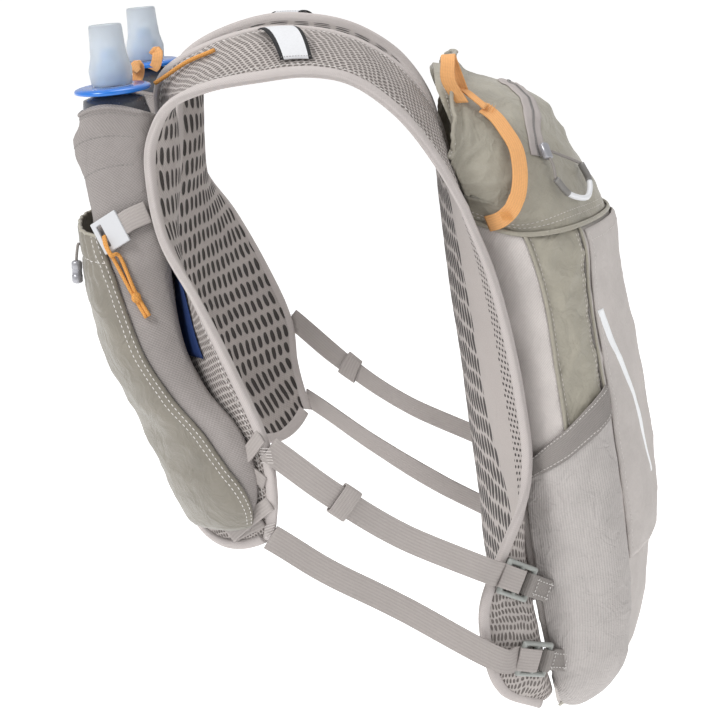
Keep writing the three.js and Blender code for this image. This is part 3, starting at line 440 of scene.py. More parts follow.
def panel(name, sign, base, wall, materials, slot, nodes=(), relief=None, marks=None):
    """A sheet with a wall: base is its inner grid of points, relief raises its outer face."""
    rows, columns = base.shape[0] - 1, base.shape[1] - 1
    normal = unit(np.cross(np.gradient(base, axis=0), np.gradient(base, axis=1)))
    steps = np.linalg.norm(np.diff(base, axis=1), axis=2)
    u = np.concatenate([np.zeros((rows + 1, 1)), np.cumsum(steps, 1)], 1)
    u -= u[:, -1:] / 2
    v = run_along(base[:, columns // 2])[:, None] + 0 * u
    rise = 0 if relief is None else relief(u, v)
    lift = np.broadcast_to(np.asarray(rise, float), u.shape)
    edge = np.ones_like(u)
    edge[[0, -1], :] = edge[:, [0, -1]] = 0.55
    inner = base + normal * (lift * 0.6)[..., None]
    outer = base + normal * (lift + wall * edge)[..., None]
    outers[name] = outer
    points = np.concatenate([place(sign, inner).reshape(-1, 3), place(sign, outer).reshape(-1, 3)])
    wide, total = columns + 1, (rows + 1) * (columns + 1)
    i, j = np.meshgrid(np.arange(rows), np.arange(columns), indexing="ij")
    a = (i * wide + j).ravel()
    inside = np.stack([a, a + 1, a + wide + 1, a + wide], 1)
    outside = inside[:, ::-1] + total
    r, c = np.arange(rows) * wide, np.arange(columns)
    bottom = rows * wide + c
    rim = [
        np.stack([r, r + wide, r + wide + total, r + total], 1),
        np.stack([r + columns, r + columns + total, r + columns + wide + total, r + columns + wide], 1),
        np.stack([c, c + total, c + 1 + total, c + 1], 1),
        np.stack([bottom, bottom + 1, bottom + 1 + total, bottom + total], 1),
    ]
    faces = np.concatenate([inside, outside, *rim])
    uv = np.stack([u, v], -1).reshape(-1, 2)
    shares = {}
    for key, values in (marks or {}).items():
        flat = np.broadcast_to(values, u.shape).ravel()
        shares[key] = np.concatenate([flat, flat])
    obj = build(name, points, faces, np.concatenate([uv, uv]), materials, shares)
    if len(materials) > 1:
        index = np.zeros(len(faces), int)
        index[: len(inside)] = 1
        obj.data.polygons.foreach_set("material_index", index)
    outward(obj)
    return wear_on(obj, "vest", slot, *nodes)


def tube(name, sign, centre, thick, section, material, slot, nodes=(), wide=None, scale=None):
    """A closed bar along a path; section is a ring of places across and through it."""
    count, ring = len(centre), len(section)
    along = unit(np.gradient(centre, axis=0))
    thick = np.broadcast_to(thick, centre.shape)
    if wide is None:
        thick = unit(thick - along * np.sum(thick * along, axis=1, keepdims=True))
        wide = np.cross(thick, along)
    wide = np.broadcast_to(wide, centre.shape)
    size = np.ones(count) if scale is None else scale
    a, b = section[:, 0], section[:, 1]
    across = wide[:, None] * (a[None, :, None] * size[:, None, None])
    points = centre[:, None] + across + thick[:, None] * b[None, :, None]
    uv = np.stack(np.broadcast_arrays(run_along(section)[None, :], run_along(centre)[:, None]), -1)
    i, j = np.meshgrid(np.arange(count - 1), np.arange(ring), indexing="ij")
    p, q = (i * ring + j).ravel(), (i * ring + (j + 1) % ring).ravel()
    faces = [list(f) for f in np.stack([p, q, q + ring, p + ring], 1)]
    faces.append(list(range(ring))[::-1])
    faces.append([(count - 1) * ring + k for k in range(ring)])
    obj = build(name, place(sign, points).reshape(-1, 3), faces, uv.reshape(-1, 2), [material])
    outward(obj)
    return wear_on(obj, "vest", slot, *nodes)


def pill(width, thickness, count=12, power=0.5):
    """Ring of a rounded flat bar"""
    angle = np.linspace(0, 2 * math.pi, count, endpoint=False) + math.pi / count
    c, s = np.cos(angle), np.sin(angle)
    across = np.sign(c) * np.abs(c) ** power * width / 2
    through = np.sign(s) * np.abs(s) ** power * thickness / 2
    return np.stack([across, through], 1)


def path_through(points, count):
    points = np.asarray(points, float)
    return knots(np.linspace(0, 1, len(points)), points, np.linspace(0, 1, count))


def look(name, base=(0.5, 0.5, 0.5), rough=0.7, **settings):
    """A material with its shader; settings are the shader's own plain values."""
    made = bpy.data.materials.new(name)
    made.use_nodes = True
    shader = made.node_tree.nodes["Principled BSDF"]
    shader.inputs["Base Color"].default_value = (*base, 1)
    shader.inputs["Roughness"].default_value = rough
    for key, value in settings.items():
        shader.inputs[key.replace("_", " ")].default_value = value
    return made


def node(tree, kind, inputs=None, **settings):
    """Adds one node; inputs are numbers, colours or other nodes' sockets by place or name."""
    made = tree.nodes.new(kind)
    for key, value in settings.items():
        setattr(made, key, value)
    for key, value in (inputs or {}).items():
        if isinstance(value, bpy.types.NodeSocket):
            tree.links.new(value, made.inputs[key])
        else:
            made.inputs[key].default_value = value
    return made


def result(tree, kind, inputs=None, **settings):
    """The first output of a new node"""
    return node(tree, kind, inputs, **settings).outputs[0]


def maths(tree, operation, a, b=0.0, clamp=False):
    return result(tree, "ShaderNodeMath", {0: a, 1: b}, operation=operation, use_clamp=clamp)


def plus(tree, a, b, clamp=False):
    return maths(tree, "ADD", a, b, clamp)


def minus(tree, a, b, clamp=False):
    return maths(tree, "SUBTRACT", a, b, clamp)


def times(tree, a, b, clamp=False):
    return maths(tree, "MULTIPLY", a, b, clamp)


def divided(tree, a, b, clamp=False):
    return maths(tree, "DIVIDE", a, b, clamp)


def noise(tree, vector, scale, detail, **more):
    values = {"Vector": vector, "Scale": scale, "Detail": detail, **more}
    return node(tree, "ShaderNodeTexNoise", values).outputs


def turned_uv(tree, turn):
    """Places on the cloth, turned by an angle"""
    values = {"Vector": tree.nodes.new("ShaderNodeTexCoord").outputs["UV"], "Angle": turn}
    return result(tree, "ShaderNodeVectorRotate", values, rotation_type="Z_AXIS")


def group(name, inputs, outputs):
    tree = bpy.data.node_groups.new(name, "ShaderNodeTree")
    for key, value in inputs.items():
        kind = "NodeSocketColor" if isinstance(value, tuple) else "NodeSocketFloat"
        made = tree.interface.new_socket(key, in_out="INPUT", socket_type=kind)
        made.default_value = value
    for key, kind in outputs.items():
        tree.interface.new_socket(key, in_out="OUTPUT", socket_type=kind)
    return tree, tree.nodes.new("NodeGroupInput").outputs, tree.nodes.new("NodeGroupOutput").inputs


def use(tree, name, values):
    made = tree.nodes.new("ShaderNodeGroup")
    made.node_tree = bpy.data.node_groups[name]
    for key, value in values.items():
        if isinstance(value, bpy.types.NodeSocket):
            tree.links.new(value, made.inputs[key])
        else:
            made.inputs[key].default_value = value
    return made.outputs


def make_variation():
    """Uneven dye and handling: a factor round 1, a fine grain and soft creases"""
    outputs = {"Factor": "NodeSocketFloat", "Grain": "NodeSocketFloat", "Crease": "NodeSocketFloat"}
    tree, given, out = group("cloth_variation", {"Patch size": 60.0, "Amount": 0.12}, outputs)
    place_at = tree.nodes.new("ShaderNodeTexCoord").outputs["Object"]
    scale = divided(tree, 1000.0, given["Patch size"])
    patches = noise(tree, place_at, scale, 4.0, Roughness=0.65)[0]
    grain = noise(tree, place_at, 900.0, 2.0)[0]
    folded = noise(tree, place_at, times(tree, scale, 2.4), 3.0, Distortion=0.8)[0]
    ridge = maths(tree, "ABSOLUTE", minus(tree, times(tree, folded, 2.0), 1.0))
    ridge = minus(tree, 1.0, times(tree, ridge, 2.2), clamp=True)
    scaled = times(tree, minus(tree, patches, 0.5), given["Amount"])
    tree.links.new(plus(tree, scaled, 1.0), out["Factor"])
    tree.links.new(grain, out["Grain"])
    tree.links.new(ridge, out["Crease"])


def make_cells():
    """Rows of rounded holes or meshes, every other row moved half a pitch; 1 on the cloth, 0 in a hole"""
    names = {
        "Pitch across": 5.0, "Pitch along": 9.0, "Fill across": 0.6, "Fill along": 0.7,
        "Softness": 0.3, "Turn": 0.0, "Wander": 0.0,
    }
    tree, given, out = group("cell_rows", names, {"Cloth": "NodeSocketFloat", "Depth": "NodeSocketFloat"})
    turned = turned_uv(tree, given["Turn"])
    bent = node(tree, "ShaderNodeSeparateXYZ", {0: noise(tree, turned, 55.0, 2.0)["Color"]}).outputs
    parts = node(tree, "ShaderNodeSeparateXYZ", {0: turned}).outputs
    u = divided(tree, times(tree, parts[0], 1000.0), given["Pitch across"])
    v = divided(tree, times(tree, parts[1], 1000.0), given["Pitch along"])
    u = plus(tree, u, times(tree, bent[0], given["Wander"]))
    v = plus(tree, v, times(tree, bent[1], given["Wander"]))
    row = maths(tree, "FLOOR", v)
    shift = times(tree, maths(tree, "MODULO", plus(tree, row, 1000.0), 2.0), 0.5)
    a = minus(tree, maths(tree, "FRACT", plus(tree, u, shift)), 0.5)
    b = minus(tree, maths(tree, "FRACT", v), 0.5)
    a = divided(tree, maths(tree, "ABSOLUTE", a), times(tree, given["Fill across"], 0.5))
    b = divided(tree, maths(tree, "ABSOLUTE", b), times(tree, given["Fill along"], 0.5))
    away = plus(tree, maths(tree, "POWER", a, 2.4), maths(tree, "POWER", b, 2.4))
    soft = divided(tree, minus(tree, away, 1.0), given["Softness"], clamp=True)
    tree.links.new(soft, out["Cloth"])
    tree.links.new(maths(tree, "MINIMUM", away, 2.0), out["Depth"])


def make_weave():
    """Two sets of crossing threads, or ribs where one set is flat"""
    names = {"Thread": 0.6, "Ribs": 0.6, "Turn": 0.0, "Across": 1.0, "Along": 1.0}
    tree, given, out = group("thread_weave", names, {"Height": "NodeSocketFloat"})
    turned = turned_uv(tree, given["Turn"])
    parts = node(tree, "ShaderNodeSeparateXYZ", {0: turned}).outputs
    heights = []
    for axis, size, share in ((0, "Thread", "Across"), (1, "Ribs", "Along")):
        phase = divided(tree, times(tree, parts[axis], FULL_TURN * 1000), given[size])
        heights.append(times(tree, maths(tree, "SINE", phase), given[share]))
    total = plus(tree, heights[0], heights[1])
    tree.links.new(times(tree, plus(tree, total, 2.0), 0.25), out["Height"])


def make_edge_wear():
    """Pale rubbed edges: 1 where the surface turns sharply"""
    tree, given, out = group("edge_rub", {"Strength": 4.0}, {"Rub": "NodeSocketFloat"})
    point = tree.nodes.new("ShaderNodeNewGeometry").outputs["Pointiness"]
    lifted_by = times(tree, minus(tree, point, 0.52), given["Strength"], clamp=True)
    tree.links.new(lifted_by, out["Rub"])


def finish_look(made, colour, grain, height, rough=0.75, spread=0.2, depth=0.0004, strength=0.6):
    """Joins colour, roughness and relief to a material's shader."""
    tree = made.node_tree
    shader = tree.nodes["Principled BSDF"]
    tree.links.new(colour, shader.inputs["Base Color"])
    ragged = plus(tree, times(tree, grain, spread), rough - spread / 2, clamp=True)
    tree.links.new(ragged, shader.inputs["Roughness"])
    bump = result(tree, "ShaderNodeBump", {"Strength": strength, "Distance": depth, "Height": height})
    tree.links.new(bump, shader.inputs["Normal"])
    return made


def blend_colours(tree, factor, a, b):
    made = tree.nodes.new("ShaderNodeMix")
    made.data_type = "RGBA"
    for socket, value in ((made.inputs[0], factor), (made.inputs[6], a), (made.inputs[7], b)):
        if isinstance(value, bpy.types.NodeSocket):
            tree.links.new(value, socket)
        else:
            socket.default_value = value
    return made.outputs[2]


def srgb(r, g, b):
    """Colour as it is seen, 0 to 255, turned to light"""
    def light(c):
        c /= 255
        return c / 12.92 if c <= 0.04045 else ((c + 0.055) / 1.055) ** 2.4
    return (light(r), light(g), light(b), 1.0)


def woven(
    name, colour, thread=0.7, ribs=0.7, turn=0.0, across=1.0, along=1.0, depth=0.0003,
    patch=40.0, amount=0.16, dark=0.82, rough=0.8, crease=1.0, **settings,
):
    """Cloth, webbing or knit with a visible thread"""
    made = look(name, rough=rough, **settings)
    tree = made.node_tree
    vary = use(tree, "cloth_variation", {"Patch size": patch, "Amount": amount})
    values = {"Thread": thread, "Ribs": ribs, "Turn": turn, "Across": across, "Along": along}
    threads = use(tree, "thread_weave", values)
    shade = plus(tree, times(tree, threads["Height"], 1 - dark), dark)
    shade = times(tree, shade, times(tree, vary["Factor"], 0.97))
    low = tuple(c * 0.86 for c in colour[:3]) + (1.0,)
    mottled = blend_colours(tree, vary["Grain"], low, colour)
    height = plus(tree, threads["Height"], times(tree, vary["Grain"], 0.5))
    height = plus(tree, height, times(tree, vary["Crease"], crease))
    shaded = blend_colours(tree, shade, NO_LIGHT, mottled)
    return finish_look(made, shaded, vary["Grain"], height, rough, 0.2, depth)


def netting(
    name, colour, hole, pitch, fill, turn=0.0, wander=0.0, soft=0.5, depth=0.0006,
    thread=0.55, amount=0.18, rough=0.8, crease=0.8, **settings,
):
    """Knit with rows of holes; hole is the colour in the holes: the yarn behind them, darkened as painted
    shade
    """
    made = look(name, rough=rough, **settings)
    tree = made.node_tree
    vary = use(tree, "cloth_variation", {"Patch size": 35.0, "Amount": amount})
    values = {
        "Pitch across": pitch[0], "Pitch along": pitch[1], "Fill across": fill[0], "Fill along": fill[1],
        "Softness": soft, "Turn": turn, "Wander": wander,
    }
    cells = use(tree, "cell_rows", values)
    threads = use(tree, "thread_weave", {"Thread": thread, "Ribs": thread, "Turn": EIGHTH_TURN})
    shade = plus(tree, times(tree, threads["Height"], 0.25), 0.8)
    shade = times(tree, shade, vary["Factor"])
    yarn = blend_colours(tree, shade, NO_LIGHT, colour)
    # Painted shade: the holes take the darkened colour of the yarn behind them
    mixed = blend_colours(tree, cells["Cloth"], hole, yarn)
    height = plus(tree, times(tree, cells["Depth"], 0.8), times(tree, threads["Height"], 0.3))
    height = plus(tree, height, times(tree, vary["Crease"], crease))
    return finish_look(made, mixed, vary["Grain"], height, rough, 0.2, depth, 0.7)


def moulded(name, colour, rough=0.4, wear=(1, 1, 1, 1), grain=0.00008, spread=0.15, **settings):
    """Moulded plastic or metal with fine grain and rubbed edges"""
    made = look(name, rough=rough, **settings)
    tree = made.node_tree
    vary = use(tree, "cloth_variation", {"Patch size": 12.0, "Amount": 0.08})
    rub = use(tree, "edge_rub", {"Strength": 3.0})
    shaded = blend_colours(tree, vary["Factor"], NO_LIGHT, colour)
    worn = blend_colours(tree, times(tree, rub["Rub"], 0.35), shaded, wear)
    return finish_look(made, worn, vary["Grain"], vary["Grain"], rough, spread, grain, 0.5)


# Colours as they are seen
STRAP_NET = srgb(191, 183, 179)
# Painted shade: the hole colours are the yarn behind the holes, darkened
SHADED_NET_HOLE = srgb(118, 111, 107)
SHADED_BACK_HOLE = srgb(112, 105, 101)
BACK_YARN = srgb(186, 178, 174)
# Painted shade: the back lining's yarn seen in its slits and holes, darkened
SHADED_BACK_SLIT = srgb(66, 61, 59)
BINDING_TINT = srgb(200, 192, 189)
LINING_MESH = srgb(176, 168, 164)
# Painted shade: the lining's yarn behind its holes, darkened
SHADED_LINING_HOLE = srgb(58, 53, 51)
OLIVE = srgb(170, 164, 149)
OLIVE_FRONT = srgb(134, 128, 116)
GREY = srgb(206, 199, 195)
TWILL = srgb(214, 207, 203)
KNIT = srgb(165, 158, 155)
RIBBED = srgb(196, 190, 187)
HEM = srgb(156, 150, 146)
ORANGE = srgb(246, 182, 118)
CORD_ORANGE = srgb(236, 166, 84)
NAVY = srgb(0, 40, 96)
SMOKE = srgb(86, 88, 94)
RUBBED_SMOKE = srgb(140, 143, 148)
BLUE = srgb(0, 104, 196)
RUBBED_BLUE = srgb(60, 146, 220)
VALVE = srgb(172, 206, 238)
FROST = srgb(236, 241, 246)
WHITE = srgb(224, 225, 228)
PLATE = srgb(196, 197, 200)
FILM = srgb(250, 251, 253)
SILVER = srgb(160, 160, 166)
BUCKLE = srgb(148, 151, 147)
DARK_PLASTIC = srgb(118, 115, 112)
WEBBING = srgb(188, 180, 176)
ZIPPER_TAPE = srgb(186, 178, 175)
ZIPPER_COIL = srgb(92, 87, 84)
THREAD = srgb(206, 199, 195)
PALE_THREAD = srgb(226, 222, 219)
DARK_THREAD = srgb(104, 98, 94)
BLACK = srgb(24, 24, 26)

# Camera at the photograph's angle; the picture's width and the focal length are in its pixels
PICTURE_WIDTH = 720
FOCAL = 1650
SENSOR = 36
lens = bpy.data.cameras.new("camera")
lens.sensor_width = SENSOR
lens.lens = FOCAL / PICTURE_WIDTH * SENSOR
camera = bpy.data.objects.new("camera", lens)
camera.location = (1.060, 0.036, 0.094)
camera.rotation_euler = (Vector((0, 0.036, -0.20)) - camera.location).to_track_quat("-Z", "Y").to_euler()
bpy.context.scene.collection.objects.link(camera)
bpy.context.scene.camera = camera

make_variation()
make_cells()
make_weave()
make_edge_wear()


def make_nets(m):
    """Knits with rows of holes"""
    m["strap"] = netting(
        "strap_net", STRAP_NET, SHADED_NET_HOLE, (2.5, 3.4), (0.6, 0.64),
        turn=0.35, wander=1.3, soft=1.1, depth=0.001, amount=0.45, crease=1.4,
    )
    m["lining"] = netting(
        "lining_mesh", LINING_MESH, SHADED_LINING_HOLE, (6.3, 14.0), (0.54, 0.68),
        wander=0.5, soft=0.45, depth=0.0012, thread=1.5, amount=0.45,
    )
    m["back_net"] = netting(
        "back_net", STRAP_NET, SHADED_BACK_HOLE, (2.6, 5.4), (0.5, 0.62),
        wander=2.2, soft=1.3, depth=0.0011, amount=0.4,
    )


def make_cloths(m):
    """Pocket, pack and lining cloths"""
    thin = {"depth": 0.00022, "patch": 34, "rough": 0.5, "crease": 6.0}
    thin.update({"Sheen_Weight": 0.2, "Coat_Weight": 0.08})
    m["olive"] = woven("olive_cloth", OLIVE, amount=0.55, **thin)
    m["olive_front"] = woven("olive_front_cloth", OLIVE_FRONT, amount=0.65, **thin)
    twill = {"thread": 1.1, "ribs": 0.8, "turn": -0.7, "amount": 0.4}
    m["grey"] = woven("grey_cloth", GREY, along=0.3, dark=0.8, crease=2.0, **twill)
    m["twill"] = woven("grey_twill", TWILL, along=0.5, dark=0.78, crease=2.4, **twill)
    m["knit"] = woven(
        "pocket_knit", KNIT, thread=1.3, ribs=1.5, turn=EIGHTH_TURN, along=0.45,
        depth=0.0005, dark=0.66, amount=0.4, crease=1.2,
    )
    m["ribbed"] = woven(
        "ribbed_knit", RIBBED, thread=1.7, ribs=1.2, along=0.35,
        depth=0.0006, dark=0.76, patch=30, amount=0.4, crease=2.2,
    )
    m["navy"] = woven("navy_lining", NAVY, thread=0.6, ribs=0.6, depth=0.0002)
    m["stripe"] = woven("reflective_film", FILM, thread=0.5, ribs=0.5, depth=0.00005, dark=0.97, rough=0.35)


def make_tapes(m):
    """Bindings, webbings, cords and the zipper's tape"""
    m["binding"] = woven("binding_tape", BINDING_TINT, thread=0.9, ribs=1.1, turn=0.6, depth=0.0002, patch=25)
    m["hem"] = woven("elastic_hem", HEM, thread=0.9, ribs=1.4, depth=0.0004, dark=0.7)
    m["webbing"] = woven("webbing", WEBBING, thread=1.9, ribs=0.75, across=0.55, depth=0.0004, dark=0.66)
    m["orange_webbing"] = woven(
        "orange_webbing", ORANGE, thread=1.5, ribs=0.8, across=0.6, depth=0.0004, dark=0.74,
    )
    m["cord"] = woven(
        "orange_cord", CORD_ORANGE, thread=1.2, ribs=1.3, turn=EIGHTH_TURN, depth=0.0004, dark=0.66,
    )
    m["grey_cord"] = woven("grey_cord", HEM, thread=0.9, ribs=0.9, turn=EIGHTH_TURN)
    m["tape"] = woven("zipper_tape_weave", ZIPPER_TAPE, turn=EIGHTH_TURN, depth=0.0002)


def make_hard_parts(m):
    """Threads, plastics and the flask"""
    m["thread"] = moulded("sewing_thread", THREAD, rough=0.6)
    m["pale_thread"] = moulded("pale_thread", PALE_THREAD, rough=0.6)
    m["dark_thread"] = moulded("dark_thread", DARK_THREAD, rough=0.6)
    m["teeth"] = moulded("zipper_coil", ZIPPER_COIL, rough=0.4)
    m["buckle"] = moulded("buckle_plastic", BUCKLE, rough=0.42)
    m["dark_plastic"] = moulded("dark_plastic", DARK_PLASTIC, rough=0.45)
    m["plate"] = moulded("clip_plate", PLATE, rough=0.4)
    m["white"] = moulded("white_plastic", WHITE, rough=0.35)
    m["silver"] = moulded("silver_plastic", SILVER, rough=0.3, Metallic=0.5)
    m["collar"] = moulded("blue_plastic", BLUE, rough=0.22, spread=0.08, wear=RUBBED_BLUE, Coat_Weight=0.5)
    m["valve"] = moulded("valve_silicone", VALVE, rough=0.4, Subsurface_Weight=0.1)
    m["frost"] = moulded(
        "frosted_plastic", FROST, rough=0.32, spread=0.12, Transmission_Weight=0.74, IOR=1.25,
    )
    m["smoke"] = moulded(
        "smoky_film", SMOKE, rough=0.25, wear=RUBBED_SMOKE, Transmission_Weight=0.06, Coat_Weight=0.5,
    )


def label_material():
    """White woven band with black edges; 'along' is its own share from edge to edge"""
    made = woven("label_weave", WHITE, thread=0.8, ribs=0.8, depth=0.0002, dark=0.9)
    tree = made.node_tree
    shader = tree.nodes["Principled BSDF"]
    share = node(tree, "ShaderNodeAttribute", attribute_name="along").outputs["Fac"]
    off = maths(tree, "ABSOLUTE", minus(tree, share, 0.5))
    edge = maths(tree, "GREATER_THAN", off, 0.385)
    before = shader.inputs["Base Color"].links[0].from_socket
    tree.links.new(blend_colours(tree, edge, before, BLACK), shader.inputs["Base Color"])
    return made


def back_lining_material():
    """Inner face of the back panel: strips of stretched mesh, solid padding and small holes; the slits and
    holes are coloured with painted shade
    """
    made = look("back_lining", rough=0.8)
    tree = made.node_tree
    vary = use(tree, "cloth_variation", {"Patch size": 35.0, "Amount": 0.16})
    big = use(tree, "cell_rows", {
        "Pitch across": 6.0, "Pitch along": 15.0, "Fill across": 0.66, "Fill along": 0.76,
        "Softness": 0.6, "Wander": 0.9,
    })
    small = use(tree, "cell_rows", {
        "Pitch across": 3.0, "Pitch along": 4.2, "Fill across": 0.5, "Fill along": 0.45,
        "Softness": 0.8, "Wander": 0.6,
    })
    threads = use(tree, "thread_weave", {"Thread": 0.6, "Ribs": 0.6, "Turn": EIGHTH_TURN})
    share = node(tree, "ShaderNodeAttribute", attribute_name="side").outputs["Fac"]
    inner = times(tree, minus(tree, 1.0, big["Cloth"]), maths(tree, "LESS_THAN", share, 0.62))
    outer = times(tree, minus(tree, 1.0, small["Cloth"]), maths(tree, "GREATER_THAN", share, 0.9))
    holes = plus(tree, inner, outer)
    shade = times(tree, plus(tree, times(tree, threads["Height"], 0.3), 0.74), vary["Factor"])
    yarn = blend_colours(tree, shade, NO_LIGHT, BACK_YARN)
    # Painted shade: the slits and holes take a dark colour
    mixed = blend_colours(tree, holes, yarn, SHADED_BACK_SLIT)
    height = minus(tree, times(tree, threads["Height"], 0.4), holes)
    return finish_look(made, mixed, vary["Grain"], height, 0.8, 0.2, 0.0007, 0.7)


M = {}
make_nets(M)
make_cloths(M)
make_tapes(M)
make_hard_parts(M)
M["label"] = label_material()
M["back_lining"] = back_lining_material()


def sides():
    return ((1, "left"), (-1, "right"))


def trace(name, a, b, lift=0.0):
    """Points on a sheet's outer face, at shares along and across it"""
    face = outers[name]
    up = unit(np.cross(np.gradient(face, axis=0), np.gradient(face, axis=1)))
    a, b = np.broadcast_arrays(np.asarray(a, float), np.asarray(b, float))
    r, c = np.clip(a, 0, 1) * (face.shape[0] - 1), np.clip(b, 0, 1) * (face.shape[1] - 1)
    i, j = np.minimum(r.astype(int), face.shape[0] - 2), np.minimum(c.astype(int), face.shape[1] - 2)
    s, t = (r - i)[..., None], (c - j)[..., None]

    def blend_at(f):
        near = f[i, j] * (1 - s) + f[i + 1, j] * s
        far = f[i, j + 1] * (1 - s) + f[i + 1, j + 1] * s
        return near * (1 - t) + far * t

    normal = unit(blend_at(up))
    return blend_at(face) + normal * np.broadcast_to(np.asarray(lift, float), a.shape)[..., None], normal


def patch(name, sign, on, a, b, wall, material, slot, relief=None):
    """A piece sewn flat on a panel, between shares along and across it"""
    base = trace(on, a, b, SEWN_LIFT)[0]
    return panel(name, sign, base, wall, [material], slot, (), relief)


def flush_strip(name, sign, on, a, b, width, wall, material, slot, nodes=()):
    """A strip of one width that follows a line on a panel and lies flat on it"""
    centre, normal = trace(on, a, b)
    step = 0.004
    along = (trace(on, a + step, b)[0] - trace(on, a - step, b)[0]) / (2 * step)
    across = (trace(on, a, b + step)[0] - trace(on, a, b - step)[0]) / (2 * step)
    side = unit(np.cross(unit(np.gradient(centre, axis=0)), normal))
    dot = lambda p, q: np.sum(p * q, axis=1)
    both = dot(along, across)
    whole = dot(along, along) * dot(across, across) - both ** 2
    move_a = (dot(side, along) * dot(across, across) - dot(side, across) * both) / whole
    move_b = (dot(side, across) * dot(along, along) - dot(side, along) * both) / whole
    spread = np.linspace(-width / 2, width / 2, 11)
    rows = a[:, None] + move_a[:, None] * spread
    columns = b[:, None] + move_b[:, None] * spread
    base, up = trace(on, rows, columns, 0.35)
    facing = np.cross(np.gradient(base, axis=0), np.gradient(base, axis=1))
    if np.mean(np.sum(facing * up, axis=2)) < 0:
        base = base[:, ::-1]
    return panel(name, sign, base, wall, [material], slot, nodes)


def stitch_tree():
    """Threads laid along a path: rounded beads set on it at one pitch"""
    tree = bpy.data.node_groups.new("stitches_on_path", "GeometryNodeTree")
    sizes = {"Pitch": 0.003, "Length": 0.002, "Width": 0.0005, "Height": 0.0004}
    socket = tree.interface.new_socket
    socket("Path", in_out="INPUT", socket_type="NodeSocketGeometry")
    for key, value in sizes.items():
        socket(key, in_out="INPUT", socket_type="NodeSocketFloat").default_value = value
    socket("Finish", in_out="INPUT", socket_type="NodeSocketMaterial")
    socket("Stitches", in_out="OUTPUT", socket_type="NodeSocketGeometry")
    given = tree.nodes.new("NodeGroupInput").outputs
    curve = result(tree, "GeometryNodeMeshToCurve", {0: given["Path"]})
    values = {"Curve": curve, "Length": given["Pitch"]}
    spaced = result(tree, "GeometryNodeResampleCurve", values, mode="LENGTH")
    up = result(tree, "GeometryNodeInputNamedAttribute", {"Name": "up"}, data_type="FLOAT_VECTOR")
    tangent = result(tree, "GeometryNodeInputTangent")
    stood = result(tree, "FunctionNodeAlignRotationToVector", {"Vector": up}, axis="Z")
    values = {"Rotation": stood, "Vector": tangent}
    turned = result(tree, "FunctionNodeAlignRotationToVector", values, axis="X", pivot_axis="Z")
    bead = result(tree, "GeometryNodeMeshIcoSphere", {"Radius": 0.5, "Subdivisions": 1})
    values = {0: given["Length"], 1: given["Width"], 2: given["Height"]}
    scale = result(tree, "ShaderNodeCombineXYZ", values)
    values = {"Points": spaced, "Instance": bead, "Rotation": turned, "Scale": scale}
    placed = result(tree, "GeometryNodeInstanceOnPoints", values)
    real = result(tree, "GeometryNodeRealizeInstances", {0: placed})
    smooth = result(tree, "GeometryNodeSetShadeSmooth", {0: real})
    values = {"Geometry": smooth, "Material": given["Finish"]}
    done = result(tree, "GeometryNodeSetMaterial", values)
    tree.links.new(done, tree.nodes.new("NodeGroupOutput").inputs[0])
    return tree


stitch_nodes = stitch_tree()


def stitch(name, sign, rows, pitch, size, material, slot):
    """Sewn rows; rows are pairs of points and their outward directions, in millimetres"""
    points, edges, ups, start = [], [], [], 0
    for line, normal in rows:
        points.append(place(sign, line) / 1000)
        ups.append(normal * np.array([sign, 1, 1]))
        edges += [(start + i, start + i + 1) for i in range(len(line) - 1)]
        start += len(line)
    mesh = bpy.data.meshes.new(name + "_path")
    mesh.from_pydata(np.concatenate(points).tolist(), edges, [])
    layer = mesh.attributes.new("up", "FLOAT_VECTOR", "POINT")
    layer.data.foreach_set("vector", np.concatenate(ups).astype(np.float32).ravel())
    path = bpy.data.objects.new(name + "_path", mesh)
    bpy.context.scene.collection.objects.link(path)
    sewing = path.modifiers.new("stitches", "NODES")
    sewing.node_group = stitch_nodes
    values = {"Pitch": pitch, "Length": size[0], "Width": size[1], "Height": size[2]}
    for socket in stitch_nodes.interface.items_tree:
        if socket.name in values:
            sewing[socket.identifier] = values[socket.name] / 1000
        elif socket.name == "Finish":
            sewing[socket.identifier] = material
    bpy.context.view_layer.update()
    done = bpy.data.meshes.new_from_object(path.evaluated_get(bpy.context.evaluated_depsgraph_get()))
    bpy.data.objects.remove(path)
    done.name = name
    obj = bpy.data.objects.new(name, done)
    bpy.context.scene.collection.objects.link(obj)
    return wear_on(obj, "vest", slot)


def rounded(node_name, bevel, material, slot):
    """A hard piece taken from its solid, with its edges rounded"""
    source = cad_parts[node_name]
    mesh = source.data.copy()
    obj = bpy.data.objects.new(node_name + "_rounded", mesh)
    bpy.context.scene.collection.objects.link(obj)
    mesh.transform(source.matrix_world)
    work = bmesh.new()
    work.from_mesh(mesh)
    bmesh.ops.remove_doubles(work, verts=work.verts, dist=1e-5)
    bmesh.ops.dissolve_limit(work, angle_limit=0.02, verts=work.verts, edges=work.edges)
    sharp = [e for e in work.edges if e.is_manifold and e.calc_face_angle(0) > 0.5]
    bmesh.ops.bevel(
        work, geom=sharp, offset=bevel / 1000, segments=3, profile=0.5, affect="EDGES", clamp_overlap=True,
    )
    bmesh.ops.recalc_face_normals(work, faces=work.faces)
    work.to_mesh(mesh)
    work.free()
    mesh.polygons.foreach_set("use_smooth", [True] * len(mesh.polygons))
    mesh.materials.clear()
    mesh.materials.append(material)
    obj.modifiers.new("weighted", "WEIGHTED_NORMAL")
    return wear_on(obj, "vest", slot, node_name)


def circle(count):
    """Angles round a ring"""
    return np.linspace(0, 2 * math.pi, count, endpoint=False)


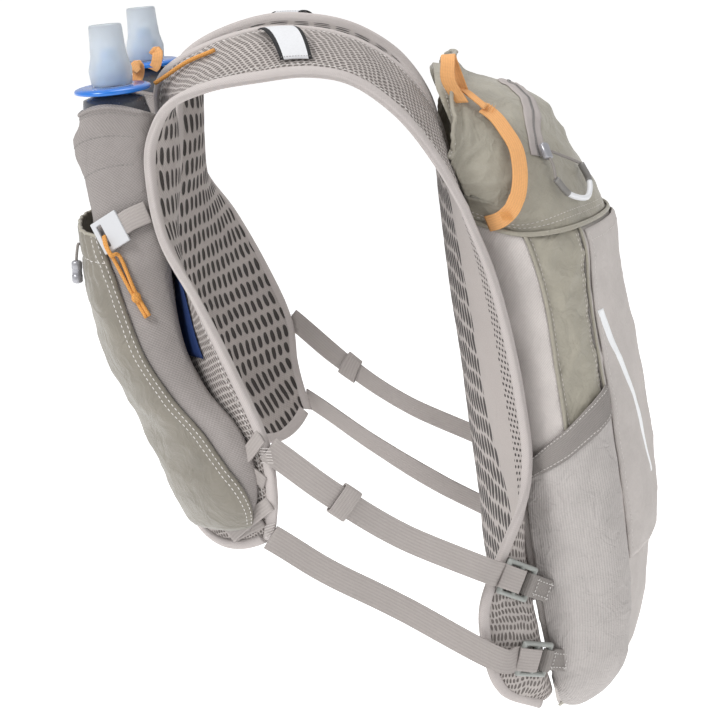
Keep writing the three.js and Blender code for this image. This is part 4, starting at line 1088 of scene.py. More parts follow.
def rings_body(name, sign, rings, material, slot, nodes=(), body="vest", closed=False):
    """A smooth vessel through rings of points"""
    rings = np.asarray(rings)
    count, n = rings.shape[:2]
    i, j = np.meshgrid(np.arange(count if closed else count - 1), np.arange(n), indexing="ij")
    k, ahead = (j + 1) % n, (i + 1) % count
    corners = np.stack([i * n + j, i * n + k, ahead * n + k, ahead * n + j], -1)
    faces = [list(f) for f in corners.reshape(-1, 4)]
    if not closed:
        faces.append(list(range(n))[::-1])
        faces.append([(count - 1) * n + q for q in range(n)])
    radius = np.linalg.norm(rings - rings.mean(1, keepdims=True), axis=2).mean()
    around = np.linspace(0, 2 * math.pi * radius, n)
    uv = np.stack(np.broadcast_arrays(around[None, :], run_along(rings.mean(1))[:, None]), -1)
    obj = build(name, place(sign, rings).reshape(-1, 3), faces, uv.reshape(-1, 2), [material])
    outward(obj)
    return wear_on(obj, body, slot, *nodes)


def lay_cord(name, sign, points, thick, diameter, material, slot, nodes):
    """A round cord through its points"""
    obj = tube(name, sign, points, thick, pill(diameter, diameter, 10, 1.0), material, slot, nodes)
    return obj


# Cords; places are shares along and across a surface, with the height over it
CLIP_SEAT = (0.372, 0.20)
CLIP_END = (0.394, -0.05, STRAP_WALL + 4.2)
FLASK_CORD_ROUTE = ((0.557, 0.80, 4), (0.580, 0.75, 2.2), (0.606, 0.68, 1.75))


def clip_frame():
    """Place and directions of the clip plate, which points to the end of its webbing"""
    seat = bottle_point(*CLIP_SEAT, CLOTH_WALL + 4 * GAP + 1.2)
    thick = standing(bottle_point, *CLIP_SEAT)
    along = strap_point(*CLIP_END) - seat
    along = unit(along - thick * np.dot(thick, along))
    return seat, along, thick, np.cross(thick, along)


def cord_knot(sign, side):
    """A small, slightly twisted knot"""
    centre = bottle_point(0.292, 0.157, 3.8)
    angle = circle(20)
    rings = []
    for height in np.linspace(-3, 3, 9):
        radius = 2.9 * math.sqrt(1 - (height / 3.3) ** 2)
        twisted = radius * (1 + 0.12 * np.sin(3 * angle + height))
        ring = [twisted * np.cos(angle), radius * np.sin(angle), 0 * angle + height]
        rings.append(centre + np.stack(ring, 1))
    return rings_body(side + "_cord_knot", sign, rings, M["cord"], "orange_cord")


def pull_cord(sign, side):
    """The two halves of the cord that hangs from the clip plate, and their knot"""
    seat, along, thick, wide = clip_frame()
    knot = cord_knot(sign, side)
    row = sample(PULL_CORD, [0, 0.3, 0.7, 1.0])
    apart = np.array([2.1, 2.1, 1.155, 1.155])[:, None]
    for half, name in ((1, "upper"), (-1, "lower")):
        hanging = bottle_point(row["along"], row["across"], row["lift"]) + along * apart * half
        slot_at = seat - along * 4.5 + along * 0.3 * half
        start = [slot_at - wide * w + thick * t for w, t in ((0, 0.4), (6, 3.8), (12.4, 3.8))]
        route = path_through(start + list(hanging[1:]), 40)
        nodes = (side + "_pull_cord",) if half > 0 else ()
        name = "%s_pull_cord_%s" % (side, name)
        lay_cord(name, sign, route, thick, PULL_CORD_SIZE, M["cord"], "orange_cord", nodes)


def flask_cord(sign, side):
    """The cord from the flask's collar to the strap"""
    back = NECK + np.array([-8, COLLAR_HALF_DEPTH + 1.2, 3.5])
    route = [back] + [strap_point(a, b, STRAP_WALL + c) for a, b, c in FLASK_CORD_ROUTE]
    route = path_through(route, 30)
    up = strap_outward(np.array([0.58]))[0]
    name, nodes = side + "_flask_cord_loop", (side + "_flask_cord",)
    lay_cord(name, sign, route, up, FLASK_CORD_SIZE, M["cord"], "orange_cord", nodes)


def zipper_cord():
    """The zipper's cord, the bent sleeve on it and the sleeve's two dark arms"""
    row = sample(PULLER, np.linspace(0, 1, 40))
    line = pack_point(row["along"], row["across"], CLOTH_WALL + row["lift"])
    slider = pack_point(0.893, 0.42, CLOTH_WALL + 3)
    up = standing(pack_point, 0.86, 0.3)
    near, far = mix(line[0], slider, 0.5) + up * 0.8, mix(slider, line[-1], 0.5) + up * 1.2
    route = path_through([line[0], near, slider, far, line[-1]], 40)
    cord, nodes = M["grey_cord"], ("zipper_cord",)
    lay_cord("zipper_cord_loop", 1, route, up, ZIPPER_CORD_SIZE, cord, "black_cord", nodes)
    sleeve = pill(3.6, 3.6, 14, 1.0)
    tube("zipper_puller_sleeve", 1, line, up, sleeve, M["white"], "white_plastic", ("zipper_puller",))
    arm = pill(4.3, 4.3, 14, 1.0)
    for name, part in (("near", line[:11]), ("far", line[-10:])):
        tube("zipper_puller_arm_" + name, 1, part, up, arm, M["dark_plastic"], "black_cord")


for sign, side in sides():
    pull_cord(sign, side)
    flask_cord(sign, side)
zipper_cord()


# Chest and shoulder
NECK_PROFILE = [(-9, 19, 19), (-4, 18, 18), (-2, 13, 12), (-1, 10, 10), (2.8, 9, 9)]
COLLAR_PROFILE = [
    (0, 27.4, 21.9), (0.4, 28, 22.5), (1.7, 28, 22.5), (2.6, 27, 21.7), (3.2, 24.5, 19.6),
    (3.4, 22.5, 18), (3.4, 11.5, 11.5), (3.1, 10.4, 10.4), (0.3, 10.4, 10.4), (0, 11.5, 11.5),
]
VALVE_PROFILE = [
    (0, 8.6), (0.3, 9), (3.4, 9.2), (3.6, 8.4), (5.2, 8.4), (5.4, 9.3), (8.4, 9.3), (8.7, 8.0),
    (12.2, 8.3), (12.7, 7.9), (13.4, 5.6), (16, 5.0), (20.4, 4.7), (20.9, 4.2), (21, 3.2),
]
COVER_PROFILE = [
    (33.9, 8.0), (25, 8.6), (17, 9.7), (12, 10.9), (9, 11.7), (0.4, 10.9), (0, 11.2), (0, 11.8), (0.4, 12),
    (4.5, 12.5), (9, 12.8), (12.5, 11.9), (17, 10.8), (25, 10.2), (33.6, 9.8), (34.6, 9.4), (35, 8.8),
]
TOGGLE_PROFILE = [
    (-7, 1.6), (-6.7, 2.5), (-5.8, 3.2), (-2, 3.3), (-1.8, 3.0),
    (1.8, 3.0), (2, 3.3), (5.8, 3.2), (6.7, 2.5), (7, 1.6),
]
VALVE_FOOT = 3.7


def strap_panel(sign, side):
    a, b = grid(170, 32)
    base = strap_point(mix(0.003, STRAP_END, a), mix(-0.05, 1.05, b), 0)
    materials, nodes = [M["strap"], M["lining"]], (side + "_shoulder_strap",)
    relief = creased(11 + sign, 30, 0.9)
    obj = panel(side + "_strap_body", sign, base, STRAP_WALL, materials, "spacer_mesh", nodes, relief)


def binding_tube(name, sign, line, count, node_name):
    """A rolled edge along a line, as wide across as its binding"""
    share = np.linspace(0, 1, count)
    middle = STRAP_WALL / 2
    centre = line(share, middle)
    thick = unit(line(share, middle + 4) - centre)
    along = unit(line(np.minimum(share + 0.006, 1), middle) - line(np.maximum(share - 0.006, 0), middle))
    wide = unit(np.cross(along, thick))
    section = pill(BINDING_WIDTH * 1.1, 5.6, 14, 0.7)
    tube(name, sign, centre, thick, section, M["binding"], "binding", (node_name,), wide=wide)


def strap_reach(at):
    """How wide the strap is at each place"""
    return np.linalg.norm(strap_base(at, 0 * at) - strap_base(at, 0 * at + 1), axis=1)


def arm_line(share, lift):
    """The outer edge: up the strap, then down the back panel"""
    over = 0.54
    at = np.minimum(mix(STRAP_START - 0.014, 1, share / over), 1.0)
    front = strap_point(at, BINDING_INSET / strap_reach(at), lift)
    down = np.clip((share - over) / (1 - over), 0, 1)
    edge = back_point(down, 0, lift)
    away = unit(edge - back_point(down, 0.03, lift))
    rear = edge + away * (2 * GAP + ramp(down, 0.82, 0.93) - BINDING_INSET)[:, None]
    return np.where((share <= over)[:, None], front, rear)


def neck_line(share, lift):
    """The inner edge: across the strap's foot, round its corner and up its neck side"""
    radius, corner, turned = 0.0098, 0.16, 0.25
    bottom = strap_point(STRAP_START - radius + 0 * share, mix(0.004, 1, share / corner), lift)
    angle = (math.pi / 2) * np.clip((share - corner) / (turned - corner), 0, 1)
    arc = strap_point(STRAP_START - radius * np.cos(angle), 1 + 0.078 * np.sin(angle), lift)
    at = mix(STRAP_START, 0.985, np.clip((share - turned) / (1 - turned), 0, 1))
    side = strap_point(at, 1 - BINDING_INSET / strap_reach(at), lift)
    return np.where((share < corner)[:, None], bottom, np.where((share < turned)[:, None], arc, side))


def bottle_pocket(sign, side):
    a, b = grid(110, 60)
    at = mix(0.018, 0.518 - RIM_DROP * ramp(b, 0, 0.5), a)
    base = bottle_base(at.ravel(), b.ravel()).reshape(a.shape + (3,))
    seams = -0.9 * groove(a, 0.93, 0.012) - 0.5 * groove(a, 0.86, 0.01)
    relief = lambda u, v: (folds(u, v, 23 + sign, 40, 0.55) + seams) * held(b, 0.08)
    name, nodes = side + "_bottle_pocket_knit", (side + "_bottle_pocket",)
    panel(name, sign, base, CLOTH_WALL, [M["knit"]], "knit", nodes, relief)


def front_pocket(sign, side):
    a, b = grid(80, 60)
    at = mix(0.025, 0.400 - FRONT_DROP * (1 - b), a).ravel()
    row = sample(FRONT_POCKET, at)
    off = row["depth"] * np.maximum(np.sin(math.pi * b.ravel()), 0) ** 0.6
    across = mix(row["seam"], row["front"], b.ravel())
    base = bottle_point(at, across, CLOTH_WALL + 3 * GAP + off).reshape(a.shape + (3,))

    def relief(u, v):
        gathers = 0.7 * np.sin(u * 0.9 + 0.6 * np.sin(v / 9)) * ramp(a, 0.72, 0.95)
        return (folds(u, v, 37 + sign, 36, 1.5) + gathers) * held(b, 0.07) - 0.8 * groove(a, 0.9, 0.014)

    name, nodes = side + "_front_pocket_cloth", (side + "_front_pocket",)
    panel(name, sign, base, CLOTH_WALL, [M["olive_front"]], "olive_cloth", nodes, relief)


def side_lining(sign, side):
    a, b = grid(30, 10)
    at = mix(0.22, 0.325, a).ravel()
    across = sample(BOTTLE_POCKET, at)["arm_in"] - 0.08 + 0.3 * b.ravel()
    base = strap_point(at, across, STRAP_WALL + 2 * GAP).reshape(a.shape + (3,))
    panel(side + "_side_lining_cloth", sign, base, 0.8, [M["navy"]], "navy_cloth", (side + "_side_lining",))


def ring_at(height, half_width, half_depth, count=48):
    """An oval round the flask's leaning axis, at a height over its neck"""
    up = np.array([0, -math.sin(LEAN), math.cos(LEAN)])
    deep = np.cross(up, [1, 0, 0])
    angle = circle(count)[:, None]
    centre = NECK + up * height
    return centre + np.cos(angle) * np.array([half_width, 0, 0]) + np.sin(angle) * deep * half_depth


def pocket_ring(at, clear):
    """A ring of the flask inside its pocket"""
    row = sample(BOTTLE_POCKET, [at])
    angle = circle(48)
    share = (1 - np.cos(angle)) / 2
    across = mix(row["arm_in"][0] + 0.06, row["neck_in"][0] - 0.06, share)
    mouth = row["mouth"][0] * (1 - share)
    back = strap_point(at, across, STRAP_WALL + FLASK_CLEAR + clear + mouth)
    front = bottle_point(at, mix(0.04, 0.96, (2 * math.pi - angle) / math.pi), -FLASK_CLEAR - clear)
    return np.where((angle < math.pi)[:, None], back, front)


def flask(sign, side):
    rings = [pocket_ring(at, 0.2) for at in np.linspace(0.115, 0.455, 26)]
    rings += [mix(rings[25], ring_at(-9, 19, 19), t) for t in np.linspace(0.2, 0.8, 4)]
    rings += [ring_at(*level) for level in NECK_PROFILE]
    rings_body(side + "_flask_film", sign, rings, M["smoke"], "smoky_film", (side + "_flask",))


def flask_top(sign, side):
    """Collar, bite valve and the valve's cover"""
    rings = [ring_at(*level, 64) for level in COLLAR_PROFILE]
    nodes = (side + "_flask_collar",)
    rings_body(side + "_collar_ring", sign, rings, M["collar"], "blue_plastic", nodes, closed=True)
    rings = [ring_at(VALVE_FOOT + height, r, r, 32) for height, r in VALVE_PROFILE]
    rings_body(side + "_valve_body", sign, rings, M["valve"], "valve_silicone", (side + "_bite_valve",))
    rings = [ring_at(VALVE_FOOT + height, r, r, 40) for height, r in COVER_PROFILE]
    nodes, body = (side + "_valve_cover",), side + "_cover"
    rings_body(side + "_cover_shell", sign, rings, M["frost"], "frosted_plastic", nodes, body)


def clip(sign, side):
    """The clip plate and the webbing that runs from it to the strap"""
    rounded(side + "_clip_plate", 1.1, M["plate"], "white_plastic")
    seat, along, thick, wide = clip_frame()
    bend = bottle_point(0.384, 0.07, CLOTH_WALL + 2.8)
    flank = standing(bottle_point, 0.372, 0.05)
    line = path_through([seat + along * 7, bend, strap_point(*CLIP_END)], 24)
    turning = mix(thick, flank, np.linspace(0, 1, 24)[:, None])
    name, nodes = side + "_clip_tape", (side + "_clip_webbing",)
    tube(name, sign, line, turning, pill(13, 1.4, 12, 0.3), M["webbing"], "webbing", nodes)


def label(sign, side):
    """The label band across the shoulder"""
    a, b = grid(20, 26)
    at = 0.646 + 0.036 * a + 0.021 * (1 - b)
    lift = STRAP_WALL + 2 * GAP + 0.7 + 4 * np.maximum(np.sin(math.pi * b), 0) ** 0.8
    base = strap_point(at, 0.08 + 0.84 * b, lift)
    name, nodes = side + "_label_cloth", (side + "_label_band",)
    panel(name, sign, base, 0.8, [M["label"]], "label_cloth", nodes, marks={"along": a})


def toggle(sign, side):
    """The silver cord end, and its cord from the nearest point of the front pocket's rim"""
    depth = sample(FRONT_POCKET, [0.325])["depth"][0]
    hang = bottle_point(0.325, 0.58, depth + CLOTH_WALL * 2 + 5 * GAP + 3.2)
    angle = circle(24)
    ring = np.stack([np.cos(angle), np.sin(angle), 0 * angle], 1)
    up = np.array([0, 0, 1])
    rings = [hang + ring * r + up * height for height, r in TOGGLE_PROFILE]
    rings_body(side + "_toggle_barrel", sign, rings, M["silver"], "silver_plastic", (side + "_toggle",))
    rim = trace(side + "_front_pocket_cloth", 0.93, np.linspace(0.3, 0.95, 60))[0]
    top = hang + up * 12
    hole = rim[np.argmin(np.linalg.norm(rim - top, axis=1))]
    stem = path_through([hang + up * 6, hang + up * 9, (top + hole) / 2 + up * 2, hole], 16)
    thick = np.array([0, -1.0, 0.01])
    tube(side + "_toggle_cord", sign, stem, thick, pill(1.8, 1.8, 8, 1), M["grey_cord"], "black_cord")


for sign, side in sides():
    strap_panel(sign, side)
    binding_tube(side + "_arm_tape", sign, arm_line, 260, side + "_arm_binding")
    binding_tube(side + "_neck_tape", sign, neck_line, 240, side + "_neck_binding")
    for make in (bottle_pocket, front_pocket, side_lining, flask, flask_top, clip, label, toggle):
        make(sign, side)


# Webbing from the chest to the hips: keeper's share, buckle's place and the webbing's first points
SIDE_STRAPS = {
    "upper": (0.34, (0.735, 0.10, -1.5), [
        (0, 155.5, -9, -216), (0.30, 149, 22, -242), (0.65, 139, 62, -271),
    ]),
    "lower": (0, (0.885, 0.17, -1.5), [
        (0, 147, -9, -273), (0.30, 137, 20, -296), (0.65, 129, 66, -324),
    ]),
}
STRAP_FROM = -0.075
BUCKLE_FOLD = ((-15, 1.6), (-9, 2.6), (-2, 3.2), (2, 2.4), (2.5, -1.2))
ANCHOR_PATH = ((7.5, -1.6), (9.5, 2.2), (12.5, 2.0), (16, -0.8), (22, -1.6), (30, -1.6))


def buckle_frame(at, across, slope):
    """Place and directions of a buckle on the back panel's wing"""
    centre = back_point(at, across, BUCKLE_LIFT)
    thick = unit(back_point(at, across, BUCKLE_LIFT + 3) - centre)
    along = back_point(at, across + 0.03, 0) - back_point(at, across - 0.03, 0)
    along[2] += slope
    along = unit(along - thick * np.dot(thick, along))
    return centre, along, thick, unit(np.cross(thick, along))


def keeper_loop(sign, side, line, keeper, face):
    """A loop of webbing round the side strap"""
    at = int(round((keeper - STRAP_FROM) / (1 - STRAP_FROM) * (len(line) - 1)))
    way = unit(line[at + 1] - line[at - 1])
    out = unit(face - way * np.dot(face, way))
    ring = pill(WEBBING_WIDTH + 3.4, TAPE_WALL + 3.4, 40, 0.4)
    loop = line[at] + ring[:, :1] * np.cross(out, way) + ring[:, 1:] * out
    loop = np.concatenate([loop, loop[:1]])
    spread = unit(loop - line[at])
    name, nodes, section = side + "_keeper_loop", (side + "_keeper",), pill(12, 1.5, 10, 0.3)
    tube(name, sign, loop, spread, section, M["webbing"], "webbing", nodes, wide=way)


def side_strap(sign, side, level):
    """One side strap with its buckle, the fold at the buckle and, on the upper one, its keeper"""
    keeper, buckle, rows = SIDE_STRAPS[level]
    name = "%s_%s" % (side, level)
    centre, along, thick, wide = buckle_frame(*buckle)
    last = centre - along * (BUCKLE_LENGTH / 2 + 3 * GAP)
    before = last - along * 20 + thick * 3
    keys = np.array([r[0] for r in rows] + [0.85, 1.0])
    values = np.array([r[1:] for r in rows] + [before, last], float)
    share = np.linspace(STRAP_FROM, 1, 70)
    line = knots(keys, values, share)
    face = np.array([1, 0.12, 0.2])
    swaying = line + 0.5 * np.sin(share * 9)[:, None] * np.array([1, 0, 0])
    section = pill(WEBBING_WIDTH, TAPE_WALL, 14, 0.25)
    tube(name + "_webbing", sign, swaying, face, section, M["webbing"], "webbing", (name + "_strap",))
    rounded(name + "_buckle", 1.5, M["buckle"], "buckle_plastic")
    fold = path_through([centre + along * s + thick * t for s, t in BUCKLE_FOLD], 24)
    tube(name + "_fold", sign, fold, thick, pill(15, 1.6, 12, 0.25), M["webbing"], "webbing")
    if keeper:
        keeper_loop(sign, side, line, keeper, face)


for sign, side in sides():
    for level in SIDE_STRAPS:
        side_strap(sign, side, level)


# Back panel and pack
def back_panel():
    a, b = grid(130, 120)
    base = back_point(mix(0.004, 1, a), 2 * mix(-0.012, 1.012, b), 0)
    off = np.abs(2 * b - 1)
    relief = lambda u, v: folds(u, v, 5, 34, 0.5) * ramp(1 - off, 0, 0.1)
    materials, nodes, marks = [M["back_net"], M["back_lining"]], ("back_panel",), {"side": off}
    obj = panel("back_panel_mesh", 1, base, STRAP_WALL, materials, "spacer_mesh", nodes, relief, marks)


def pack_sheet(name, sign, along, across, counts, material, slot, node_name, relief, lift=0.0):
    """A piece of the pack between two shares up it and two across it"""
    a, b = grid(*counts)
    over = lift(a, b) if callable(lift) else lift
    base = pack_point(mix(*along, a), mix(*across, b), over - CLOTH_WALL)
    return panel(name, sign, base, CLOTH_WALL, [material], slot, (node_name,), relief)


def pack_side(sign, side):
    """Side panel and gusset"""
    name, along, relief = side + "_side_panel", (0, PACK_TOP), creased(41 + sign, 40, 1.0)
    across = (SIDE_SHARE, 1)
    pack_sheet(name + "_cloth", sign, along, across, (110, 20), M["twill"], "grey_cloth", name, relief)
    name, relief = side + "_gusset", creased(53 + sign, 26, 2.3)
    across = (REAR_SHARE, SIDE_SHARE)
    pack_sheet(name + "_cloth", sign, along, across, (110, 26), M["olive"], "olive_cloth", name, relief)


def side_pocket(sign, side):
    a, b = grid(70, 60)
    row = sample(SIDE_POCKET, (1 - b).ravel())
    at = mix(row["low"], row["high"], a.ravel())
    off = POCKET_LIFT + row["bulge"] * np.sin(math.pi * np.minimum(a.ravel() * 0.9 + 0.05, 1)) ** 0.6
    base = pack_point(at, row["across"], off - CLOTH_WALL).reshape(a.shape + (3,))
    name, relief = side + "_side_pocket", creased(61 + sign, 34, 1.5)
    panel(name + "_knit", sign, base, CLOTH_WALL, [M["ribbed"]], "ribbed_knit", (name,), relief)


def side_loop(sign, side):
    row = sample(SIDE_LOOP, np.linspace(0, 1, 60))
    centre = pack_point(row["along"], row["across"], CLOTH_WALL + 0.5 + row["lift"])
    up = standing(pack_point, row["along"], row["across"])
    name, section = side + "_side_loop", pill(10, 1.2, 12, 0.25)
    tube(name + "_webbing", sign, centre, up, section, M["orange_webbing"], "orange_webbing", (name,))


def pocket_bulge(a, b):
    """How far the back pocket stands off the pack"""
    swell = 5.5 * np.maximum(np.sin(math.pi * b), 0) ** 0.6
    return 1.5 + swell * (1 - 0.75 * a) * mix(0.55, 1, ramp(a, 0, 0.12))


def pack():
    """The pack's back, its roof and the back pocket"""
    along, across, relief = (0, PACK_TOP), (-REAR_SHARE, REAR_SHARE), creased(71, 44, 1.0)
    pack_sheet("pack_back_cloth", 1, along, across, (110, 60), M["grey"], "grey_cloth", "pack_back", relief)
    along, across, relief = (ROOF_START, 1), (-1, 1), creased(83, 34, 2.2)
    pack_sheet("pack_roof_cloth", 1, along, across, (60, 130), M["olive"], "olive_cloth", "pack_roof", relief)
    along, across = (BACK_POCKET_LOW, BACK_POCKET_HIGH), (-BACK_POCKET_HALF, BACK_POCKET_HALF)
    pack_sheet(
        "back_pocket_cloth", 1, along, across, (80, 60), M["grey"], "grey_cloth", "back_pocket",
        creased(97, 34, 1.3), pocket_bulge,
    )


def zipper():
    """The zipper's tape, flat on the roof, and its coil"""
    row = sample(ZIPPER, np.linspace(0, 1, 90))
    a = (row["along"] - ROOF_START) / (1 - ROOF_START)
    b = (row["across"] + 1) / 2
    tape, nodes = M["tape"], ("zipper_tape",)
    flush_strip("zipper_tape_cloth", 1, "pack_roof_cloth", a, b, 13, 0.7, tape, "zipper", nodes)
    coil = trace("zipper_tape_cloth", np.linspace(0, 1, 240), 0.5, SEWN_LIFT)
    stitch("zipper_coil_teeth", 1, [coil], 1.1, (0.8, 2.6, 0.9), M["teeth"], "zipper")


def top_loop():
    near = pack_point(0.985, 0.51, CLOTH_WALL + 1.2)
    far = pack_point(0.985, 0.42, CLOTH_WALL + 1.2)
    line = path_through([near, (64, 89, -9), (62, 88.5, 2), (56, 89, 5.5), (50, 90.5, 2), far], 50)
    wide = unit(np.array([0.35, 1, 0.1]))
    face = unit(np.cross(unit(np.gradient(line, axis=0)), wide))
    orange, section = M["orange_webbing"], pill(9, 1.3, 12, 0.25)
    tube("top_loop_webbing", 1, line, face, section, orange, "orange_webbing", ("top_loop",), wide=wide)


back_panel()
for sign, side in sides():
    pack_side(sign, side)
    side_pocket(sign, side)
    side_loop(sign, side)
pack()
zipper()
top_loop()


# Seams, hems and the small pieces sewn on
SEAM_BEAD = (2.4, 0.5, 0.4)
CHEST_BEAD = (2.3, 0.55, 0.4)
PULL_TABS = {
    "upper": (
        (0.135, -0.08, 5.0), (0.112, 0.06, 7.0), (0.094, 0.19, 7.6), (0.088, 0.12, 5.2), (0.070, -0.02, 4.6),
    ),
    "lower": (
        (0.045, -0.06, 5.0), (0.030, 0.16, 7.5), (0.016, 0.36, 8.0), (0.018, 0.28, 5.4), (0.026, 0.02, 4.6),
    ),
}
FLASK_TAB = ((-20, 6, -1), (-28, 9, 2), (-33, 11, 7), (-31, 11, 12), (-28, 8, 9))
STRIPE = np.array([
    (0, 0.665, 0.355, 1.6), (0.3, 0.610, 0.315, 1.5), (0.65, 0.530, 0.235, 1.0), (1, 0.400, 0.155, 0.5),
])


def row_on(panel_name, a, b):
    """A sewing line on a panel; a or b may be one share"""
    count = 120
    a = np.linspace(*a, count) if isinstance(a, tuple) else np.full(count, a)
    b = np.linspace(*b, count) if isinstance(b, tuple) else np.full(count, b)
    return trace(panel_name, a, b, SEWN_LIFT)


def tacks(surface, a, b, rows, lift):
    """Dense zigzag sewing over a small area"""
    across = np.linspace(*b, 12)
    lines = []
    for share in mix(a[0], a[1], np.arange(rows) / (rows - 1)):
        lines.append((surface(share, across, lift), standing(surface, share, across, lift)))
    return lines


def chest_stitches(sign, side):
    front, strap, band = side + "_front_pocket_cloth", side + "_strap_body", side + "_label_cloth"
    rows = [row_on(front, (0.02, 0.99), b) for b in (0.03, 0.075, 0.97)]
    rows.append(row_on(front, 0.915, (0.04, 0.96)))
    stitch(side + "_front_pocket_stitches", sign, rows, 3.1, CHEST_BEAD, M["pale_thread"], "olive_cloth")
    rows = [row_on(side + "_bottle_pocket_knit", a, (0.03, 0.97)) for a in (0.985, 0.93, 0.86)]
    stitch(side + "_pocket_hem_stitches", sign, rows, 2.8, CHEST_BEAD, M["dark_thread"], "knit")
    rows = [row_on(strap, (0.02, 0.98), b) for b in (0.072, 0.928)]
    stitch(side + "_strap_edge_stitches", sign, rows, 3.0, CHEST_BEAD, M["pale_thread"], "binding")
    rows = [row_on(band, (0.06, 0.94), b) for b in (0.03, 0.97)]
    stitch(side + "_label_stitches", sign, rows, 1.6, (1.2, 0.4, 0.35), M["dark_thread"], "label_cloth")
    dense = []
    for along, rows in (((0.100, 0.120), 6), ((0.006, 0.020), 5)):
        dense += tacks(strap_point, along, (-0.13, -0.04), rows, 6.7)
    stitch(side + "_strap_tacks", sign, dense, 1.0, (1.1, 0.6, 0.45), M["thread"], "binding")


def rim(name, sign, on, section, material, slot):
    """A rolled hem along a pocket's open edge"""
    hem, up = trace(on, 0.995, np.linspace(0.01, 0.99, 60))
    tube(name, sign, hem, up, section, material, slot)


def chest_trims(sign, side):
    """Pull tabs at the chest corner, pocket rims and the flask's tab"""
    for level, points in PULL_TABS.items():
        line = path_through([strap_point(*p) for p in points], 36)
        up = strap_outward(np.array([points[2][0]]))[0]
        name = "%s_pull_tab_%s" % (side, level)
        tube(name, sign, line, up, pill(9, 1.5, 12, 0.3), M["webbing"], "webbing")
    rim(side + "_pocket_rim", sign, side + "_bottle_pocket_knit", pill(2.2, 2.0, 10, 0.8), M["knit"], "knit")
    cloth = side + "_front_pocket_cloth"
    rim(side + "_front_rim", sign, cloth, pill(2.0, 1.8, 10, 0.8), M["olive"], "olive_cloth")
    line = path_through(NECK + np.array(FLASK_TAB), 24)
    thick, section = np.array([1.0, 0, 0.4]), pill(7, 1.4, 12, 0.3)
    tube(side + "_flask_tab", sign, line, thick, section, M["orange_webbing"], "orange_webbing")


def hip_trims(sign, side):
    """The webbings that hold the buckles, with their sewing"""
    for level in SIDE_STRAPS:
        centre, along, thick, wide = buckle_frame(*SIDE_STRAPS[level][1])
        line = path_through([centre + along * s + thick * t for s, t in ANCHOR_PATH], 30)
        name = "%s_%s_anchor" % (side, level)
        tube(name, sign, line, thick, pill(14.5, 1.6, 12, 0.25), M["hem"], "webbing")
        length = mix(centre + along * 16, centre + along * 29, np.linspace(0, 1, 20)[:, None])
        sewn = [length + wide * w + thick * 0.4 for w in (-4.5, 4.5)]
        reach = wide * np.linspace(-5, 5, 16)[:, None]
        sewn += [centre + along * s + reach + thick * 0.3 for s in (17, 28)]
        sewn = [(row, np.broadcast_to(thick, row.shape)) for row in sewn]
        stitch(name + "_stitches", sign, sewn, 2.2, (1.7, 0.6, 0.6), M["pale_thread"], "webbing")


def side_seams(sign, side):
    """The side pocket's hem band, the sewing and the piping of the pack's side"""
    a, b = grid(14, 60)
    band = side + "_pocket_hem_band"
    ribs = lambda u, v: 0.25 * np.sin(u * 1.9)
    patch(band, sign, side + "_side_pocket_knit", 0.915 + 0.092 * a, b, 1.1, M["hem"], "ribbed_knit", ribs)
    rows = [row_on(side + "_gusset_cloth", (0.02, 0.99), b) for b in (0.05, 0.10, 0.92)]
    rows.append(row_on(side + "_side_panel_cloth", (0.02, 0.99), 0.07))
    stitch(side + "_gusset_stitches", sign, rows, 3.2, SEAM_BEAD, M["thread"], "olive_cloth")
    rows = [row_on(band, a, (0.02, 0.98)) for a in (0.12, 0.85)]
    stitch(side + "_hem_band_stitches", sign, rows, 2.6, SEAM_BEAD, M["thread"], "ribbed_knit")
    at = np.linspace(0.004, PACK_TOP, 120)
    for key, share in (("side", SIDE_SHARE), ("rear", REAR_SHARE)):
        line, up = pack_point(at, share, 0.6), standing(pack_point, at, share)
        name = "%s_%s_piping" % (side, key)
        tube(name, sign, line, up, pill(2.4, 1.7, 10, 0.9), M["olive"], "olive_cloth")


def stripe(sign, side):
    """The reflective stripe; the pocket's creases aren't the same on both sides, so it isn't mirrored"""
    row = knots(STRIPE[:, 0], STRIPE[:, 1:], np.linspace(0, 1, 60))
    a = (row[:, 0] - BACK_POCKET_LOW) / (BACK_POCKET_HIGH - BACK_POCKET_LOW)
    b = (row[:, 1] + BACK_POCKET_HALF) / (2 * BACK_POCKET_HALF)
    b = b if sign > 0 else 1 - b
    spread = np.linspace(-1, 1, 7)
    across = b[:, None] + (row[:, 2] * 3.3 / 190)[:, None] * spread
    along = a[:, None] + 0 * spread
    patch(side + "_stripe", 1, "back_pocket_cloth", along, across, 0.35, M["stripe"], "label_cloth")


def loop_tacks(sign, side):
    dense = tacks(pack_point, (0.838, 0.852), (0.745, 0.785), 7, 6.2)
    dense += tacks(pack_point, (0.960, 0.970), (0.47, 0.51), 5, 4.0)
    stitch(side + "_side_loop_tacks", sign, dense, 0.9, (1.0, 0.5, 0.4), M["cord"], "orange_webbing")


def roof_seams():
    """Sewing on the roof and the back pocket, and the piping between them"""
    rows = [row_on("pack_roof_cloth", a, (0.01, 0.99)) for a in (0.972, 0.06, 0.10)]
    stitch("pack_roof_stitches", 1, rows, 3.2, SEAM_BEAD, M["thread"], "olive_cloth")
    rows = [row_on("back_pocket_cloth", (0.01, 0.99), b) for b in (0.025, 0.975)]
    rows.append(row_on("back_pocket_cloth", 0.965, (0.03, 0.97)))
    stitch("back_pocket_stitches", 1, rows, 3.2, SEAM_BEAD, M["thread"], "grey_cloth")
    across = np.linspace(-1, 1, 160)
    line, up = pack_point(0.803, across, 0.7), standing(pack_point, 0.803, across)
    tube("pack_roof_piping", 1, line, up, pill(3.0, 2.0, 10, 0.9), M["olive"], "olive_cloth")


